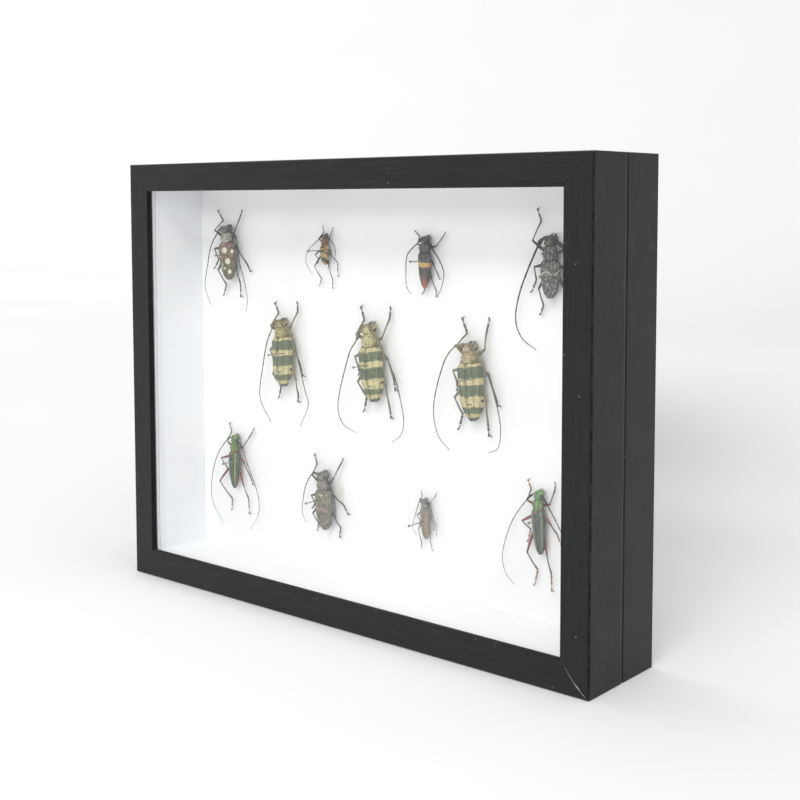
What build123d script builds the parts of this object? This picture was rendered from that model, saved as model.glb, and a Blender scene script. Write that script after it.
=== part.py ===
from build123d import *
import os
from dataclasses import dataclass
from math import hypot

# Insect specimen box: a glass-fronted lid that lifts off a shallow base, with eleven pinned beetles.
# Millimetres. X is the width, Y runs from the glass front (-Y) to the back (+Y), Z is up.
# The origin is the middle of the long edge that the case stands on.

# Outside of the case
case_width = 300.0
case_height = 230.0
lid_depth = 27.3
base_depth = 26.4
seam_gap = 0.3

# Black cloth cover, wrapped round the wooden mouldings
cover = 0.3
edge_radius = 0.5
cover_flap = 12.0
cover_tuck = 6.0

# Lid: walls, border in front of the glass, glass and glazing strips
lid_wall = 6.2
border_width = 14.7
border_thickness = 2.4
glass_thickness = 2.0
glass_edge_gap = 0.5
glass_bevel = 0.3
strip_width = 6.5
strip_thickness = 1.8

# Base: walls, collar that guides the lid, lining, back and foam
lid_fit = 0.3
collar_thickness = 5.5
lining = 0.2
board_thickness = 3.0
foam_thickness = 10.0
foam_edge_gap = 0.1
facing_thickness = 0.2
back_paper_gap = 0.2

# V-nails driven into the back of each mitred corner
nail_margin = 1.2
nail_gauge = 0.6
nail_depth = 10.0

# Insect pins, cut short and pushed through the foam down to the back board, until the beetles are
# just clear of the facing
foam_clearance = 1.6
pin_radius = 0.26
pin_taper = 3.0
pin_tip_radius = 0.06
pin_tip_gap = 0.2
pin_grip = 0.02
pin_head_radius = 0.65

# Depths behind the front face, worked out from the sizes above
case_depth = lid_depth + seam_gap + base_depth
border_back = cover + border_thickness
glass_front = border_back + cover
glass_back = glass_front + glass_thickness
strip_back = glass_back + strip_thickness
collar_front = strip_back + lid_fit
base_front = lid_depth + seam_gap
board_front = case_depth - cover - board_thickness
board_back = case_depth - cover
foam_front = board_front - foam_thickness
beetle_back = foam_front - facing_thickness - foam_clearance
pin_tip = board_front - pin_tip_gap

# Distances inwards from the outer faces, worked out from the sizes above
border_inside = border_width - cover
lid_wall_inside = cover + lid_wall
lid_inside = lid_wall_inside + cover
collar_outside = lid_inside + lid_fit
collar_inside = collar_outside + lining + collar_thickness + lining
base_wall_inside = collar_outside - cover
mitre_reach = 0.45 * min(case_width, case_height)

# Beetles: shares of a beetle's body height (depths) or body width (thicknesses)
leg_root_sink = 0.30
knee_sink = 0.15
ankle_sink = 0.30
claw_sink = 0.40
antenna_sink = 0.10
thigh_share = 0.060
knee_share = 0.036
ankle_share = 0.030
claw_share = 0.018
antenna_base_radius = 0.20
antenna_share = 0.018
antenna_tip_share = 0.40
antenna_segments = 11


def at_depth(depth):
    """A plane facing the front, at a depth behind the front face, centred on the case."""
    origin = (0, depth - case_depth / 2, case_height / 2)
    return Plane(origin=origin, x_dir=(1, 0, 0), z_dir=(0, -1, 0))


def finish(part, name):
    """Labels a finished piece and writes it."""
    part.label = name
    export_step(part, f"parts/{name}.step")


os.makedirs("parts", exist_ok=True)


# Mitred frames: each side has a plane across it, whose local X runs inwards and local Y backwards


@dataclass
class Side:
    name: str
    origin: tuple
    inwards: tuple
    length: float
    ends: tuple


half_width = case_width / 2
half_height = case_height / 2
front_y = -case_depth / 2
sides = [
    Side("left", (-half_width, front_y, half_height), (1, 0, 0), case_height, ((-1, -1), (-1, 1))),
    Side("right", (half_width, front_y, half_height), (-1, 0, 0), case_height, ((1, 1), (1, -1))),
    Side("bottom", (0, front_y, 0), (0, 0, 1), case_width, ((1, -1), (-1, -1))),
    Side("top", (0, front_y, case_height), (0, 0, -1), case_width, ((-1, 1), (1, 1))),
]


def rectangle(inner, outer, front, back):
    """A rectangle across a moulding, from its outer to its inner edge and from front to back."""
    with BuildSketch() as face:
        with Locations(((inner + outer) / 2, (front + back) / 2)):
            Rectangle(abs(inner - outer), back - front)
    return face.sketch


def rounded(points, round_points, radius):
    """A closed outline across a moulding, rounded at some of its corners."""
    with BuildSketch() as face:
        with BuildLine():
            Polyline(*points, close=True)
        make_face()
        corners = [
            corner
            for corner in face.vertices()
            if any(hypot(corner.X - x, corner.Y - y) < cover / 10 for x, y in round_points)
        ]
        fillet(corners, radius)
    return face.sketch


def mitred_strip(side, profile, pockets=None):
    """One side of a frame: a profile along the side, mitred at both ends."""
    outer = [(x * half_width, y * half_height) for x, y in side.ends]
    inner = [(x * (half_width - mitre_reach), y * (half_height - mitre_reach)) for x, y in side.ends]
    across = Plane(
        origin=side.origin,
        x_dir=side.inwards,
        z_dir=Vector(side.inwards).cross(Vector(0, 1, 0)),
    )
    with BuildPart() as strip:
        with BuildSketch(across):
            add(profile)
        extrude(amount=side.length / 2, both=True)
        with BuildSketch(at_depth(case_depth / 2)):
            Polygon(outer[0], outer[1], inner[1], inner[0], align=None)
        extrude(amount=case_depth, both=True, mode=Mode.INTERSECT)
        if pockets:
            add(pockets, mode=Mode.SUBTRACT)
    return strip.part


def corner_nails(back):
    """V-nails across the four mitres, driven forwards from a depth."""
    leg = lid_wall - 2 * nail_margin
    near = cover + nail_margin
    far = near + leg
    with BuildPart() as nails:
        with BuildSketch(at_depth(back)):
            for x, z in ((-1, -1), (1, -1), (1, 1), (-1, 1)):
                bend = [
                    (near, near),
                    (far, near),
                    (far, near + nail_gauge),
                    (near + nail_gauge, near + nail_gauge),
                    (near + nail_gauge, far),
                    (near, far),
                ]
                Polygon(*[(x * (half_width - a), z * (half_height - b)) for a, b in bend], align=None)
        extrude(amount=nail_depth)
    return nails.part


# Lid mouldings, L-shaped: a wall with the border that stands in front of the glass
lid_core = rounded(
    [
        (cover, cover),
        (border_inside, cover),
        (border_inside, border_back),
        (lid_wall_inside, border_back),
        (lid_wall_inside, lid_depth - cover),
        (cover, lid_depth - cover),
    ],
    [(cover, cover), (border_inside, cover), (cover, lid_depth - cover)],
    edge_radius,
)
lid_outside = rounded(
    [
        (0, 0),
        (border_width, 0),
        (border_width, glass_front),
        (lid_inside, glass_front),
        (lid_inside, lid_depth),
        (0, lid_depth),
    ],
    [(0, 0), (border_width, 0), (0, lid_depth)],
    edge_radius + cover,
)
lid_bare = rectangle(lid_wall_inside, lid_inside + cover, border_back, lid_depth - cover - cover_tuck)
lid_cover = lid_outside - lid_core - lid_bare

lid_corner_nails = corner_nails(lid_depth - cover)
finish(lid_corner_nails, "lid_corner_nails")
for side in sides:
    finish(mitred_strip(side, lid_core, lid_corner_nails), f"lid_moulding_{side.name}")
    finish(mitred_strip(side, lid_cover), f"lid_cover_{side.name}")

# Glazing strips, behind the glass and against the lid walls
strip_profile = rectangle(lid_wall_inside, lid_wall_inside + strip_width, glass_back, strip_back)
for side in sides:
    finish(mitred_strip(side, strip_profile), f"glazing_strip_{side.name}")

with BuildPart() as glass_pane:
    with BuildSketch(at_depth(glass_back)):
        glass_margin = lid_inside + glass_edge_gap
        Rectangle(case_width - 2 * glass_margin, case_height - 2 * glass_margin)
    extrude(amount=glass_thickness)
    chamfer(glass_pane.faces().filter_by(Axis.Y).edges(), glass_bevel)
finish(glass_pane.part, "glass_pane")

# Base walls, with the cover wrapped from the inside over the front edge and onto the back
base_core = rounded(
    [
        (cover, base_front + cover),
        (base_wall_inside, base_front + cover),
        (base_wall_inside, board_front),
        (cover, board_front),
    ],
    [(cover, base_front + cover)],
    edge_radius,
)
base_outside = rounded(
    [
        (0, base_front),
        (collar_outside, base_front),
        (collar_outside, board_front),
        (cover_flap, board_back),
        (cover_flap, case_depth),
        (0, case_depth),
    ],
    [(0, base_front), (0, case_depth)],
    edge_radius + cover,
)
board_outline = rounded(
    [
        (cover, board_front),
        (half_height, board_front),
        (half_height, board_back),
        (cover, board_back),
    ],
    [(cover, board_back)],
    edge_radius,
)
base_cover = base_outside - base_core - board_outline

base_corner_nails = corner_nails(board_front)
finish(base_corner_nails, "base_corner_nails")
for side in sides:
    finish(mitred_strip(side, base_core, base_corner_nails), f"base_moulding_{side.name}")
    finish(mitred_strip(side, base_cover), f"base_cover_{side.name}")

with BuildPart() as back_board:
    with BuildSketch(at_depth(board_back)):
        Rectangle(case_width - 2 * cover, case_height - 2 * cover)
    extrude(amount=board_thickness)
    fillet(back_board.faces().sort_by(Axis.Y)[-1].edges(), edge_radius)
finish(back_board.part, "back_board")

with BuildPart() as back_paper:
    with BuildSketch(at_depth(case_depth)):
        paper_margin = cover_flap + back_paper_gap
        Rectangle(case_width - 2 * paper_margin, case_height - 2 * paper_margin)
    extrude(amount=cover)
finish(back_paper.part, "back_paper")

# Collar boards inside the base walls, that stand up into the lid, and their white lining
collar_core_outside = collar_outside + lining
collar_core_inside = collar_core_outside + collar_thickness
collar_core = rectangle(collar_core_outside, collar_core_inside, collar_front + lining, board_front)
collar_lining = rectangle(collar_outside, collar_inside, collar_front, board_front) - collar_core
for side in sides:
    finish(mitred_strip(side, collar_core), f"collar_{side.name}")
    finish(mitred_strip(side, collar_lining), f"collar_lining_{side.name}")


# Specimens. Places are across and up in millimetres: the pin's from the middle of the case, and
# every other one from the pin. Each leg is its knee, ankle and claw, from thigh to foot, and each
# antenna is the points that it passes through after its root on the head.


@dataclass
class Beetle:
    name: str
    pin: tuple
    pin_above: float
    height: float
    head_width: float
    thorax_width: float
    width: float
    front: tuple
    neck: tuple
    tail: tuple
    legs: dict
    antennae: dict


beetles = [
    Beetle(
        name="white_spotted_beetle",
        pin=(-105.5, 65.0),
        pin_above=9.5,
        height=7.0,
        head_width=7.8,
        thorax_width=7.1,
        width=11.6,
        front=(-5.0, 16.0),
        neck=(-4.5, 6.5),
        tail=(-2.5, -14.0),
        legs={
            "fore_left": ((-15.5, 13.5), (-9.5, 19.0), (-14.5, 24.0)),
            "fore_right": ((0.0, 11.0), (3.5, 19.5), (5.0, 24.0)),
            "middle_left": ((-16.0, 3.0), (-13.5, -3.0), (-18.0, -8.0)),
            "middle_right": ((2.5, 4.0), (10.0, -5.5), (11.0, -8.5)),
            "hind_left": ((-13.0, -9.0), (-7.5, -17.0), (-10.5, -23.0)),
            "hind_right": ((2.0, -7.5), (4.0, -16.0), (3.5, -23.0)),
        },
        antennae={
            "left": ((-11.5, 13.0), (-18.5, 4.5), (-22.0, -8.0), (-24.0, -19.0), (-19.0, -29.5)),
            "right": ((3.0, 9.0), (4.5, -3.0), (8.0, -12.5), (11.0, -23.5), (10.0, -31.0)),
        },
    ),
    Beetle(
        name="wasp_banded_beetle",
        pin=(-36.0, 69.0),
        pin_above=11.0,
        height=4.0,
        head_width=3.9,
        thorax_width=4.3,
        width=5.5,
        front=(0.0, 8.5),
        neck=(0.0, 2.5),
        tail=(0.5, -7.5),
        legs={
            "fore_left": ((-5.0, 6.0), (-1.5, 9.5), (-3.0, 12.5)),
            "fore_right": ((3.0, 6.5), (3.5, 8.5), (4.5, 11.5)),
            "middle_left": ((-7.5, -2.5), (-5.5, -4.5), (-6.5, -7.0)),
            "middle_right": ((4.0, -2.5), (8.0, -6.0), (8.0, -13.5)),
            "hind_left": ((-8.0, -8.5), (-3.5, -15.0), (-5.5, -19.0)),
            "hind_right": ((2.5, -9.0), (4.5, -15.0), (4.0, -19.5)),
        },
        antennae={
            "left": ((-4.0, 6.0), (-11.0, 1.0), (-14.0, -3.5), (-13.5, -8.0), (-9.5, -13.0)),
            "right": ((3.5, 6.0), (7.0, 1.0), (7.0, -3.0), (6.0, -7.0)),
        },
    ),
    Beetle(
        name="orange_banded_beetle",
        pin=(33.5, 65.5),
        pin_above=11.0,
        height=5.2,
        head_width=4.7,
        thorax_width=6.9,
        width=7.4,
        front=(-0.5, 12.0),
        neck=(-1.5, 4.0),
        tail=(-1.5, -13.5),
        legs={
            "fore_left": ((-6.5, 8.0), (-6.0, 12.0), (-9.0, 14.0)),
            "fore_right": ((5.5, 7.5), (7.5, 10.5), (9.5, 13.5)),
            "middle_left": ((-5.5, 1.0), (-5.0, -4.0), (-5.5, -8.0)),
            "middle_right": ((3.5, -2.0), (5.5, -6.5), (6.0, -8.5)),
            "hind_left": ((-4.5, -8.0), (-2.5, -14.0), (-4.5, -16.5)),
            "hind_right": ((2.0, -8.5), (4.5, -14.5), (4.0, -17.0)),
        },
        antennae={
            "left": ((-5.5, 9.0), (-13.0, 2.5), (-14.0, -6.5), (-13.5, -13.0), (-11.0, -16.5)),
            "right": ((3.5, 5.5), (7.5, 0.0), (10.0, -6.0), (8.5, -13.0), (5.5, -17.5)),
        },
    ),
    Beetle(
        name="white_veined_beetle",
        pin=(109.5, 61.0),
        pin_above=10.5,
        height=7.2,
        head_width=6.5,
        thorax_width=7.7,
        width=9.8,
        front=(-3.5, 18.0),
        neck=(-3.5, 6.5),
        tail=(-3.5, -10.5),
        legs={
            "fore_left": ((-14.0, 15.5), (-10.0, 24.5), (-12.5, 29.5)),
            "fore_right": ((5.5, 13.0), (3.5, 22.5), (6.0, 27.5)),
            "middle_left": ((-13.0, 3.5), (-12.5, -2.5), (-15.5, -8.0)),
            "middle_right": ((6.0, 2.5), (8.0, -4.0), (9.5, -9.0)),
            "hind_left": ((-10.5, -6.5), (-8.5, -14.0), (-10.5, -18.0)),
            "hind_right": ((4.0, -7.0), (3.5, -14.5), (5.0, -19.0)),
        },
        antennae={
            "left": ((-10.5, 13.0), (-20.0, -6.5), (-23.0, -20.5), (-19.5, -29.5), (-11.5, -34.5)),
            "right": ((3.0, 12.5), (7.5, 3.0), (10.5, -8.0), (11.5, -18.5), (9.0, -26.5)),
        },
    ),
    Beetle(
        name="green_banded_beetle_left",
        pin=(-61.0, 13.5),
        pin_above=11.5,
        height=8.4,
        head_width=8.3,
        thorax_width=7.9,
        width=13.4,
        front=(-6.0, 17.5),
        neck=(-5.0, 8.0),
        tail=(-4.0, -18.5),
        legs={
            "fore_left": ((-15.0, 13.5), (-10.0, 20.5), (-13.5, 25.5)),
            "fore_right": ((0.5, 14.0), (4.5, 22.0), (3.5, 26.5)),
            "middle_left": ((-15.5, 0.5), (-14.0, -5.0), (-14.0, -9.0)),
            "middle_right": ((4.0, 1.0), (6.0, -6.0), (7.0, -12.0)),
            "hind_left": ((-13.5, -13.0), (-8.5, -19.0), (-11.0, -25.5)),
            "hind_right": ((4.0, -14.5), (4.5, -22.5), (3.5, -26.0)),
        },
        antennae={
            "left": ((-13.0, 12.0), (-17.5, 4.5), (-21.0, -9.0), (-23.5, -26.5), (-15.0, -39.5)),
            "right": ((3.0, 8.0), (6.0, -3.0), (11.0, -19.0), (13.5, -27.5), (7.5, -39.0)),
        },
    ),
    Beetle(
        name="green_banded_beetle_middle",
        pin=(0.0, 12.0),
        pin_above=11.5,
        height=8.8,
        head_width=8.7,
        thorax_width=8.1,
        width=14.2,
        front=(-3.5, 20.5),
        neck=(-2.5, 8.5),
        tail=(0.5, -19.0),
        legs={
            "fore_left": ((-13.0, 14.5), (-8.5, 22.0), (-11.5, 28.0)),
            "fore_right": ((4.5, 13.5), (8.5, 23.5), (8.5, 28.5)),
            "middle_left": ((-14.0, 3.0), (-12.5, -2.5), (-13.0, -6.0)),
            "middle_right": ((8.5, 3.0), (11.0, -6.0), (11.5, -12.0)),
            "hind_left": ((-12.0, -10.0), (-7.0, -17.5), (-9.5, -25.0)),
            "hind_right": ((7.0, -10.0), (8.5, -21.5), (8.5, -26.5)),
        },
        antennae={
            "left": ((-12.0, 11.5), (-18.0, 3.0), (-25.5, -21.5), (-22.5, -32.5), (-13.5, -36.5)),
            "right": ((6.0, 7.5), (13.5, -6.0), (19.0, -25.0), (17.5, -34.0), (11.5, -38.5)),
        },
    ),
    Beetle(
        name="green_banded_beetle_right",
        pin=(66.5, 11.0),
        pin_above=11.5,
        height=8.8,
        head_width=8.7,
        thorax_width=8.1,
        width=13.8,
        front=(-6.0, 16.0),
        neck=(-5.5, 6.5),
        tail=(-3.0, -21.0),
        legs={
            "fore_left": ((-14.5, 14.0), (-9.0, 20.5), (-12.5, 27.0)),
            "fore_right": ((2.5, 13.5), (2.5, 21.5), (3.5, 27.5)),
            "middle_left": ((-16.5, 2.0), (-15.0, -3.5), (-15.5, -7.0)),
            "middle_right": ((5.0, 2.0), (8.0, -9.0), (8.5, -12.5)),
            "hind_left": ((-15.5, -11.0), (-11.5, -19.0), (-14.5, -26.5)),
            "hind_right": ((3.5, -10.5), (3.5, -21.5), (3.5, -27.5)),
        },
        antennae={
            "left": ((-15.0, 13.5), (-22.0, 5.0), (-28.0, -15.0), (-26.0, -29.5), (-18.5, -37.0)),
            "right": ((3.0, 5.0), (8.0, -6.5), (12.0, -21.5), (11.0, -32.0), (5.5, -35.5)),
        },
    ),
    Beetle(
        name="slim_green_beetle",
        pin=(-103.0, -51.0),
        pin_above=10.0,
        height=5.2,
        head_width=5.1,
        thorax_width=5.9,
        width=8.2,
        front=(-3.0, 14.0),
        neck=(-3.5, 4.5),
        tail=(-3.5, -16.0),
        legs={
            "fore_left": ((-10.0, 9.5), (-7.5, 15.5), (-9.5, 19.5)),
            "fore_right": ((2.5, 7.5), (8.0, 15.0), (10.0, 18.5)),
            "middle_left": ((-15.5, -0.5), (-11.5, -5.5), (-12.5, -8.5)),
            "middle_right": ((3.5, -1.0), (7.5, -8.0), (9.0, -12.5)),
            "hind_left": ((-17.0, -14.0), (-7.5, -23.0), (-8.5, -29.5)),
            "hind_right": ((3.0, -14.0), (6.0, -21.0), (6.0, -29.5)),
        },
        antennae={
            "left": ((-9.5, 11.0), (-18.5, 1.0), (-23.5, -13.5), (-23.0, -26.5), (-14.5, -38.0)),
            "right": ((3.0, 7.0), (6.5, -1.5), (14.5, -17.0), (15.0, -28.5), (8.5, -38.0)),
        },
    ),
    Beetle(
        name="grey_brown_beetle",
        pin=(-37.0, -63.0),
        pin_above=10.0,
        height=7.0,
        head_width=7.3,
        thorax_width=7.8,
        width=11.0,
        front=(0.0, 14.5),
        neck=(0.5, 5.0),
        tail=(2.0, -16.0),
        legs={
            "fore_left": ((-8.5, 11.5), (-6.0, 18.0), (-8.5, 22.0)),
            "fore_right": ((7.0, 12.0), (10.5, 19.0), (12.0, 22.0)),
            "middle_left": ((-9.5, 0.5), (-7.5, -3.5), (-10.0, -6.5)),
            "middle_right": ((8.0, 2.0), (13.0, -1.5), (15.5, -6.0)),
            "hind_left": ((-8.5, -9.0), (-5.0, -14.0), (-6.5, -18.0)),
            "hind_right": ((7.5, -9.0), (11.0, -14.0), (9.5, -19.0)),
        },
        antennae={
            "left": ((-7.5, 13.0), (-13.0, 6.0), (-15.5, -3.0), (-16.0, -10.0), (-13.0, -14.5)),
            "right": ((4.5, 8.0), (7.0, 2.5), (8.5, -5.0), (9.0, -11.5)),
        },
    ),
    Beetle(
        name="small_brown_beetle",
        pin=(32.0, -64.0),
        pin_above=11.5,
        height=4.0,
        head_width=3.8,
        thorax_width=4.2,
        width=5.4,
        front=(-0.5, 11.0),
        neck=(-0.5, 6.5),
        tail=(0.5, -9.0),
        legs={
            "fore_left": ((-4.0, 9.0), (-3.0, 12.0), (-4.0, 14.0)),
            "fore_right": ((3.0, 10.0), (5.0, 12.5), (5.5, 14.5)),
            "middle_left": ((-6.0, 2.0), (-4.5, -0.5), (-5.0, -2.5)),
            "middle_right": ((3.0, 2.0), (4.5, -1.5), (4.0, -4.0)),
            "hind_left": ((-5.0, -5.0), (-3.5, -11.5), (-4.0, -14.5)),
            "hind_right": ((2.5, -6.0), (2.5, -11.0), (3.0, -14.5)),
        },
        antennae={
            "left": ((-3.5, 10.5), (-5.5, 6.0), (-8.5, -3.0), (-8.0, -6.0), (-6.0, -8.0)),
            "right": ((3.0, 7.5), (4.5, 2.5), (6.5, -1.5), (6.5, -7.0)),
        },
    ),
    Beetle(
        name="striped_green_beetle",
        pin=(102.0, -51.5),
        pin_above=9.5,
        height=5.0,
        head_width=4.9,
        thorax_width=5.9,
        width=7.4,
        front=(-2.0, 12.5),
        neck=(-2.5, 3.5),
        tail=(-1.0, -17.0),
        legs={
            "fore_left": ((-9.0, 7.0), (-7.5, 12.5), (-9.5, 16.0)),
            "fore_right": ((3.5, 7.0), (5.5, 13.5), (5.5, 16.5)),
            "middle_left": ((-12.0, -3.0), (-7.5, -6.5), (-9.5, -12.5)),
            "middle_right": ((4.0, -2.5), (7.0, -6.5), (9.0, -11.5)),
            "hind_left": ((-9.0, -17.5), (-3.5, -25.0), (-5.5, -32.5)),
            "hind_right": ((2.0, -17.0), (4.0, -25.5), (4.0, -33.5)),
        },
        antennae={
            "left": ((-9.0, 7.5), (-18.0, -5.0), (-23.0, -20.5), (-21.0, -29.5), (-16.0, -34.0)),
            "right": ((2.5, 6.5), (9.0, -3.5), (14.0, -13.5), (15.5, -22.5), (13.5, -30.5)),
        },
    ),
]

# Sections along a body: which stretch, how far along it, then shares of that stretch's width and of
# the body's height, and how far the section sinks towards the foam as a share of the height
body_sections = [
    ("head", 0.00, 0.50, 0.35, 0.34),
    ("head", 0.45, 1.00, 0.62, 0.24),
    ("head", 1.00, 0.80, 0.62, 0.14),
    ("thorax", 0.15, 0.82, 0.74, 0.12),
    ("thorax", 0.55, 1.00, 0.82, 0.08),
    ("thorax", 0.92, 0.86, 0.76, 0.04),
    ("wings", 0.02, 0.82, 0.80, 0.03),
    ("wings", 0.09, 0.98, 0.94, 0.00),
    ("wings", 0.30, 1.00, 1.00, 0.00),
    ("wings", 0.65, 0.94, 0.96, 0.01),
    ("wings", 0.88, 0.68, 0.72, 0.08),
    ("wings", 1.00, 0.26, 0.24, 0.16),
]
nape_share = 0.42
# Where each pair of legs leaves the body, as a stretch and a share of it, then its side share
leg_roots = {
    "fore": ("thorax", 0.60, 0.22),
    "middle": ("wings", 0.10, 0.28),
    "hind": ("wings", 0.34, 0.28),
}
antenna_root = ("head", 0.50, 0.30)


def body_point(beetle, stretch, share, side_share=0.0):
    """A point on a body's line, or beside it by a share of the stretch's width."""
    front, neck, tail = Vector(*beetle.front), Vector(*beetle.neck), Vector(*beetle.tail)
    nape = front + (neck - front) * nape_share
    ends = {"head": (front, nape), "thorax": (nape, neck), "wings": (neck, tail)}
    start, end = ends[stretch]
    along = (tail - front).normalized()
    across = Vector(-along.Y, along.X)
    return start + (end - start) * share + across * (side_share * stretch_width(beetle, stretch))


def stretch_width(beetle, stretch):
    """The greatest width of a stretch of a body."""
    widths = {"head": beetle.head_width, "thorax": beetle.thorax_width, "wings": beetle.width}
    return widths[stretch]


def pin_length(beetle):
    """The length of a beetle's pin, from its tip to the top of its head."""
    return pin_tip - beetle_back + beetle.height + beetle.pin_above


def in_case(beetle, point, sink):
    """A point of a beetle in the case: sink is how far it lies behind the body's middle plane."""
    depth = beetle_back - beetle.height * (0.5 - sink)
    place = Vector(*beetle.pin) + Vector(*point)
    return at_depth(depth).from_local_coords(place)


def through_points(points, steps):
    """Evenly stepped points on a smooth curve through a list of points."""
    with BuildLine():
        curve = Spline(*points)
    return [curve @ (step / steps) for step in range(steps + 1)]


def limb(points, radii):
    """A leg or antenna: round sections along straight runs, joined at the bends."""
    with BuildPart() as tube:
        for index, (point, radius) in enumerate(zip(points, radii)):
            before = points[max(index - 1, 0)]
            after = points[min(index + 1, len(points) - 1)]
            with BuildSketch(Plane(origin=point, x_dir=(0, 1, 0), z_dir=after - before)):
                Circle(radius)
        loft(ruled=True)
    return tube.part


def leg(beetle, name, bends):
    """One leg: a thick thigh, a thin shin and a foot."""
    pair, hand = name.split("_")
    stretch, share, side_share = leg_roots[pair]
    side = side_share if hand == "right" else -side_share
    root = in_case(beetle, body_point(beetle, stretch, share, side), leg_root_sink)
    knee, ankle, claw = [
        in_case(beetle, bend, sink)
        for bend, sink in zip(bends, (knee_sink, ankle_sink, claw_sink))
    ]
    thigh = root + (knee - root) * 0.6
    shares = (knee_share, thigh_share, knee_share, ankle_share, claw_share)
    return limb([root, thigh, knee, ankle, claw], [share * beetle.width for share in shares])


def antenna(beetle, hand, bends):
    """One antenna, of eleven segments that grow thinner."""
    stretch, share, side_share = antenna_root
    side = side_share if hand == "right" else -side_share
    points = [body_point(beetle, stretch, share, side), *bends]
    path = through_points([in_case(beetle, point, antenna_sink) for point in points], antenna_segments)
    thick = antenna_base_radius + antenna_share * beetle.width
    radii = [
        thick * (1 - (1 - antenna_tip_share) * step / antenna_segments)
        for step in range(antenna_segments + 1)
    ]
    return limb(path, radii)


def specimen(beetle):
    """A whole beetle, pierced by its pin."""
    limbs = [leg(beetle, name, bends) for name, bends in beetle.legs.items()]
    limbs += [antenna(beetle, hand, bends) for hand, bends in beetle.antennae.items()]
    line = in_case(beetle, beetle.front, 0) - in_case(beetle, beetle.tail, 0)
    across = line.cross(Vector(0, 1, 0))
    with BuildPart() as body:
        for stretch, share, width_share, height_share, sink in body_sections:
            centre = in_case(beetle, body_point(beetle, stretch, share), sink)
            with BuildSketch(Plane(origin=centre, x_dir=across, z_dir=line)):
                width = width_share * stretch_width(beetle, stretch)
                Ellipse(width / 2, height_share * beetle.height / 2)
        loft(ruled=True)
        add(limbs)
        with BuildSketch(at_depth(pin_tip)):
            with Locations(beetle.pin):
                Circle(pin_radius - pin_grip)
        extrude(amount=pin_length(beetle), mode=Mode.SUBTRACT)
    return body.part


for beetle in beetles:
    finish(specimen(beetle), beetle.name)

# Insect pins and their heads
pin_places = [beetle.pin for beetle in beetles]

with BuildPart(at_depth(pin_tip)) as insect_pins:
    for beetle in beetles:
        with Locations(beetle.pin):
            Cone(pin_tip_radius, pin_radius, pin_taper, align=(Align.CENTER, Align.CENTER, Align.MIN))
        with Locations((*beetle.pin, pin_taper)):
            shank_length = pin_length(beetle) - pin_taper - pin_head_radius
            Cylinder(pin_radius, shank_length, align=(Align.CENTER, Align.CENTER, Align.MIN))
finish(insect_pins.part, "insect_pins")

with BuildPart(at_depth(pin_tip)) as pin_heads:
    for beetle in beetles:
        with Locations((*beetle.pin, pin_length(beetle) - pin_head_radius)):
            Sphere(pin_head_radius)
            Cylinder(
                pin_radius - pin_grip,
                pin_head_radius,
                align=(Align.CENTER, Align.CENTER, Align.MAX),
                mode=Mode.SUBTRACT,
            )
finish(pin_heads.part, "pin_heads")

# Foam and its white facing, fitted inside the collar and pierced by the pins
foam_margin = collar_inside + foam_edge_gap
foam_layers = {
    "foam_sheet": (board_front, foam_thickness),
    "foam_facing": (foam_front, facing_thickness),
}
for name, (back, thickness) in foam_layers.items():
    with BuildPart() as layer:
        with BuildSketch(at_depth(back)):
            Rectangle(case_width - 2 * foam_margin, case_height - 2 * foam_margin)
            with Locations(*pin_places):
                Circle(pin_radius - pin_grip, mode=Mode.SUBTRACT)
        extrude(amount=thickness)
    finish(layer.part, name)
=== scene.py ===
"""Looks of the insect specimen box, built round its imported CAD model. Metres, Z up, front at -Y."""

import math
import random

import bpy
from mathutils import Matrix, Vector


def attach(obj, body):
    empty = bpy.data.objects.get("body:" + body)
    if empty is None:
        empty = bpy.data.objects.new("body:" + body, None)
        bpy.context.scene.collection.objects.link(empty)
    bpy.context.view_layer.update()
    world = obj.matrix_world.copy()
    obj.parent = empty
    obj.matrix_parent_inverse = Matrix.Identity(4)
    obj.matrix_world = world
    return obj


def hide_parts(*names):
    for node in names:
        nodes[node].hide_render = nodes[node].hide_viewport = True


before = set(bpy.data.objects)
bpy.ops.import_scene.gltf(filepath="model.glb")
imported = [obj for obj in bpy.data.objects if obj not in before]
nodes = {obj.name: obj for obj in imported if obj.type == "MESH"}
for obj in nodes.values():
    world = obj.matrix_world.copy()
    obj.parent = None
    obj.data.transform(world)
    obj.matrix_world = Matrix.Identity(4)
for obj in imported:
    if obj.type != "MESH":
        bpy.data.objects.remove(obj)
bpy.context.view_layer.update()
MM = 0.001
SIDES = ("left", "right", "bottom", "top")

# Sizes of the case in millimetres, as in the CAD model
CASE_WIDTH = 300.0
CASE_HEIGHT = 230.0
CASE_DEPTH = 54.0
BORDER_WIDTH = 14.7
BEETLE_BACK = 38.9
COVER_LIP = -0.8


def linear(value):
    """A display value from 0 to 255 as linear light."""
    share = value / 255
    return share / 12.92 if share <= 0.04045 else ((share + 0.055) / 1.055) ** 2.4


class Value:
    """An output in a material's graph. Arithmetic on it adds math nodes."""

    def __init__(self, graph, socket):
        self.graph = graph
        self.socket = socket

    def __add__(self, other):
        return self.graph.math("ADD", self, other)

    def __sub__(self, other):
        return self.graph.math("SUBTRACT", self, other)

    def __rsub__(self, other):
        return self.graph.math("SUBTRACT", other, self)

    def __mul__(self, other):
        return self.graph.math("MULTIPLY", self, other)

    def __truediv__(self, other):
        return self.graph.math("DIVIDE", self, other)

    def __pow__(self, other):
        return self.graph.math("POWER", self, other)

    def __abs__(self):
        return self.graph.math("ABSOLUTE", self)

    def step(self, low, high):
        """A smooth step from 0 at low to 1 at high."""
        inputs = {"Value": self, "From Min": low, "From Max": high}
        return self.graph.node("MapRange", inputs, interpolation_type="SMOOTHSTEP")


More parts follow.
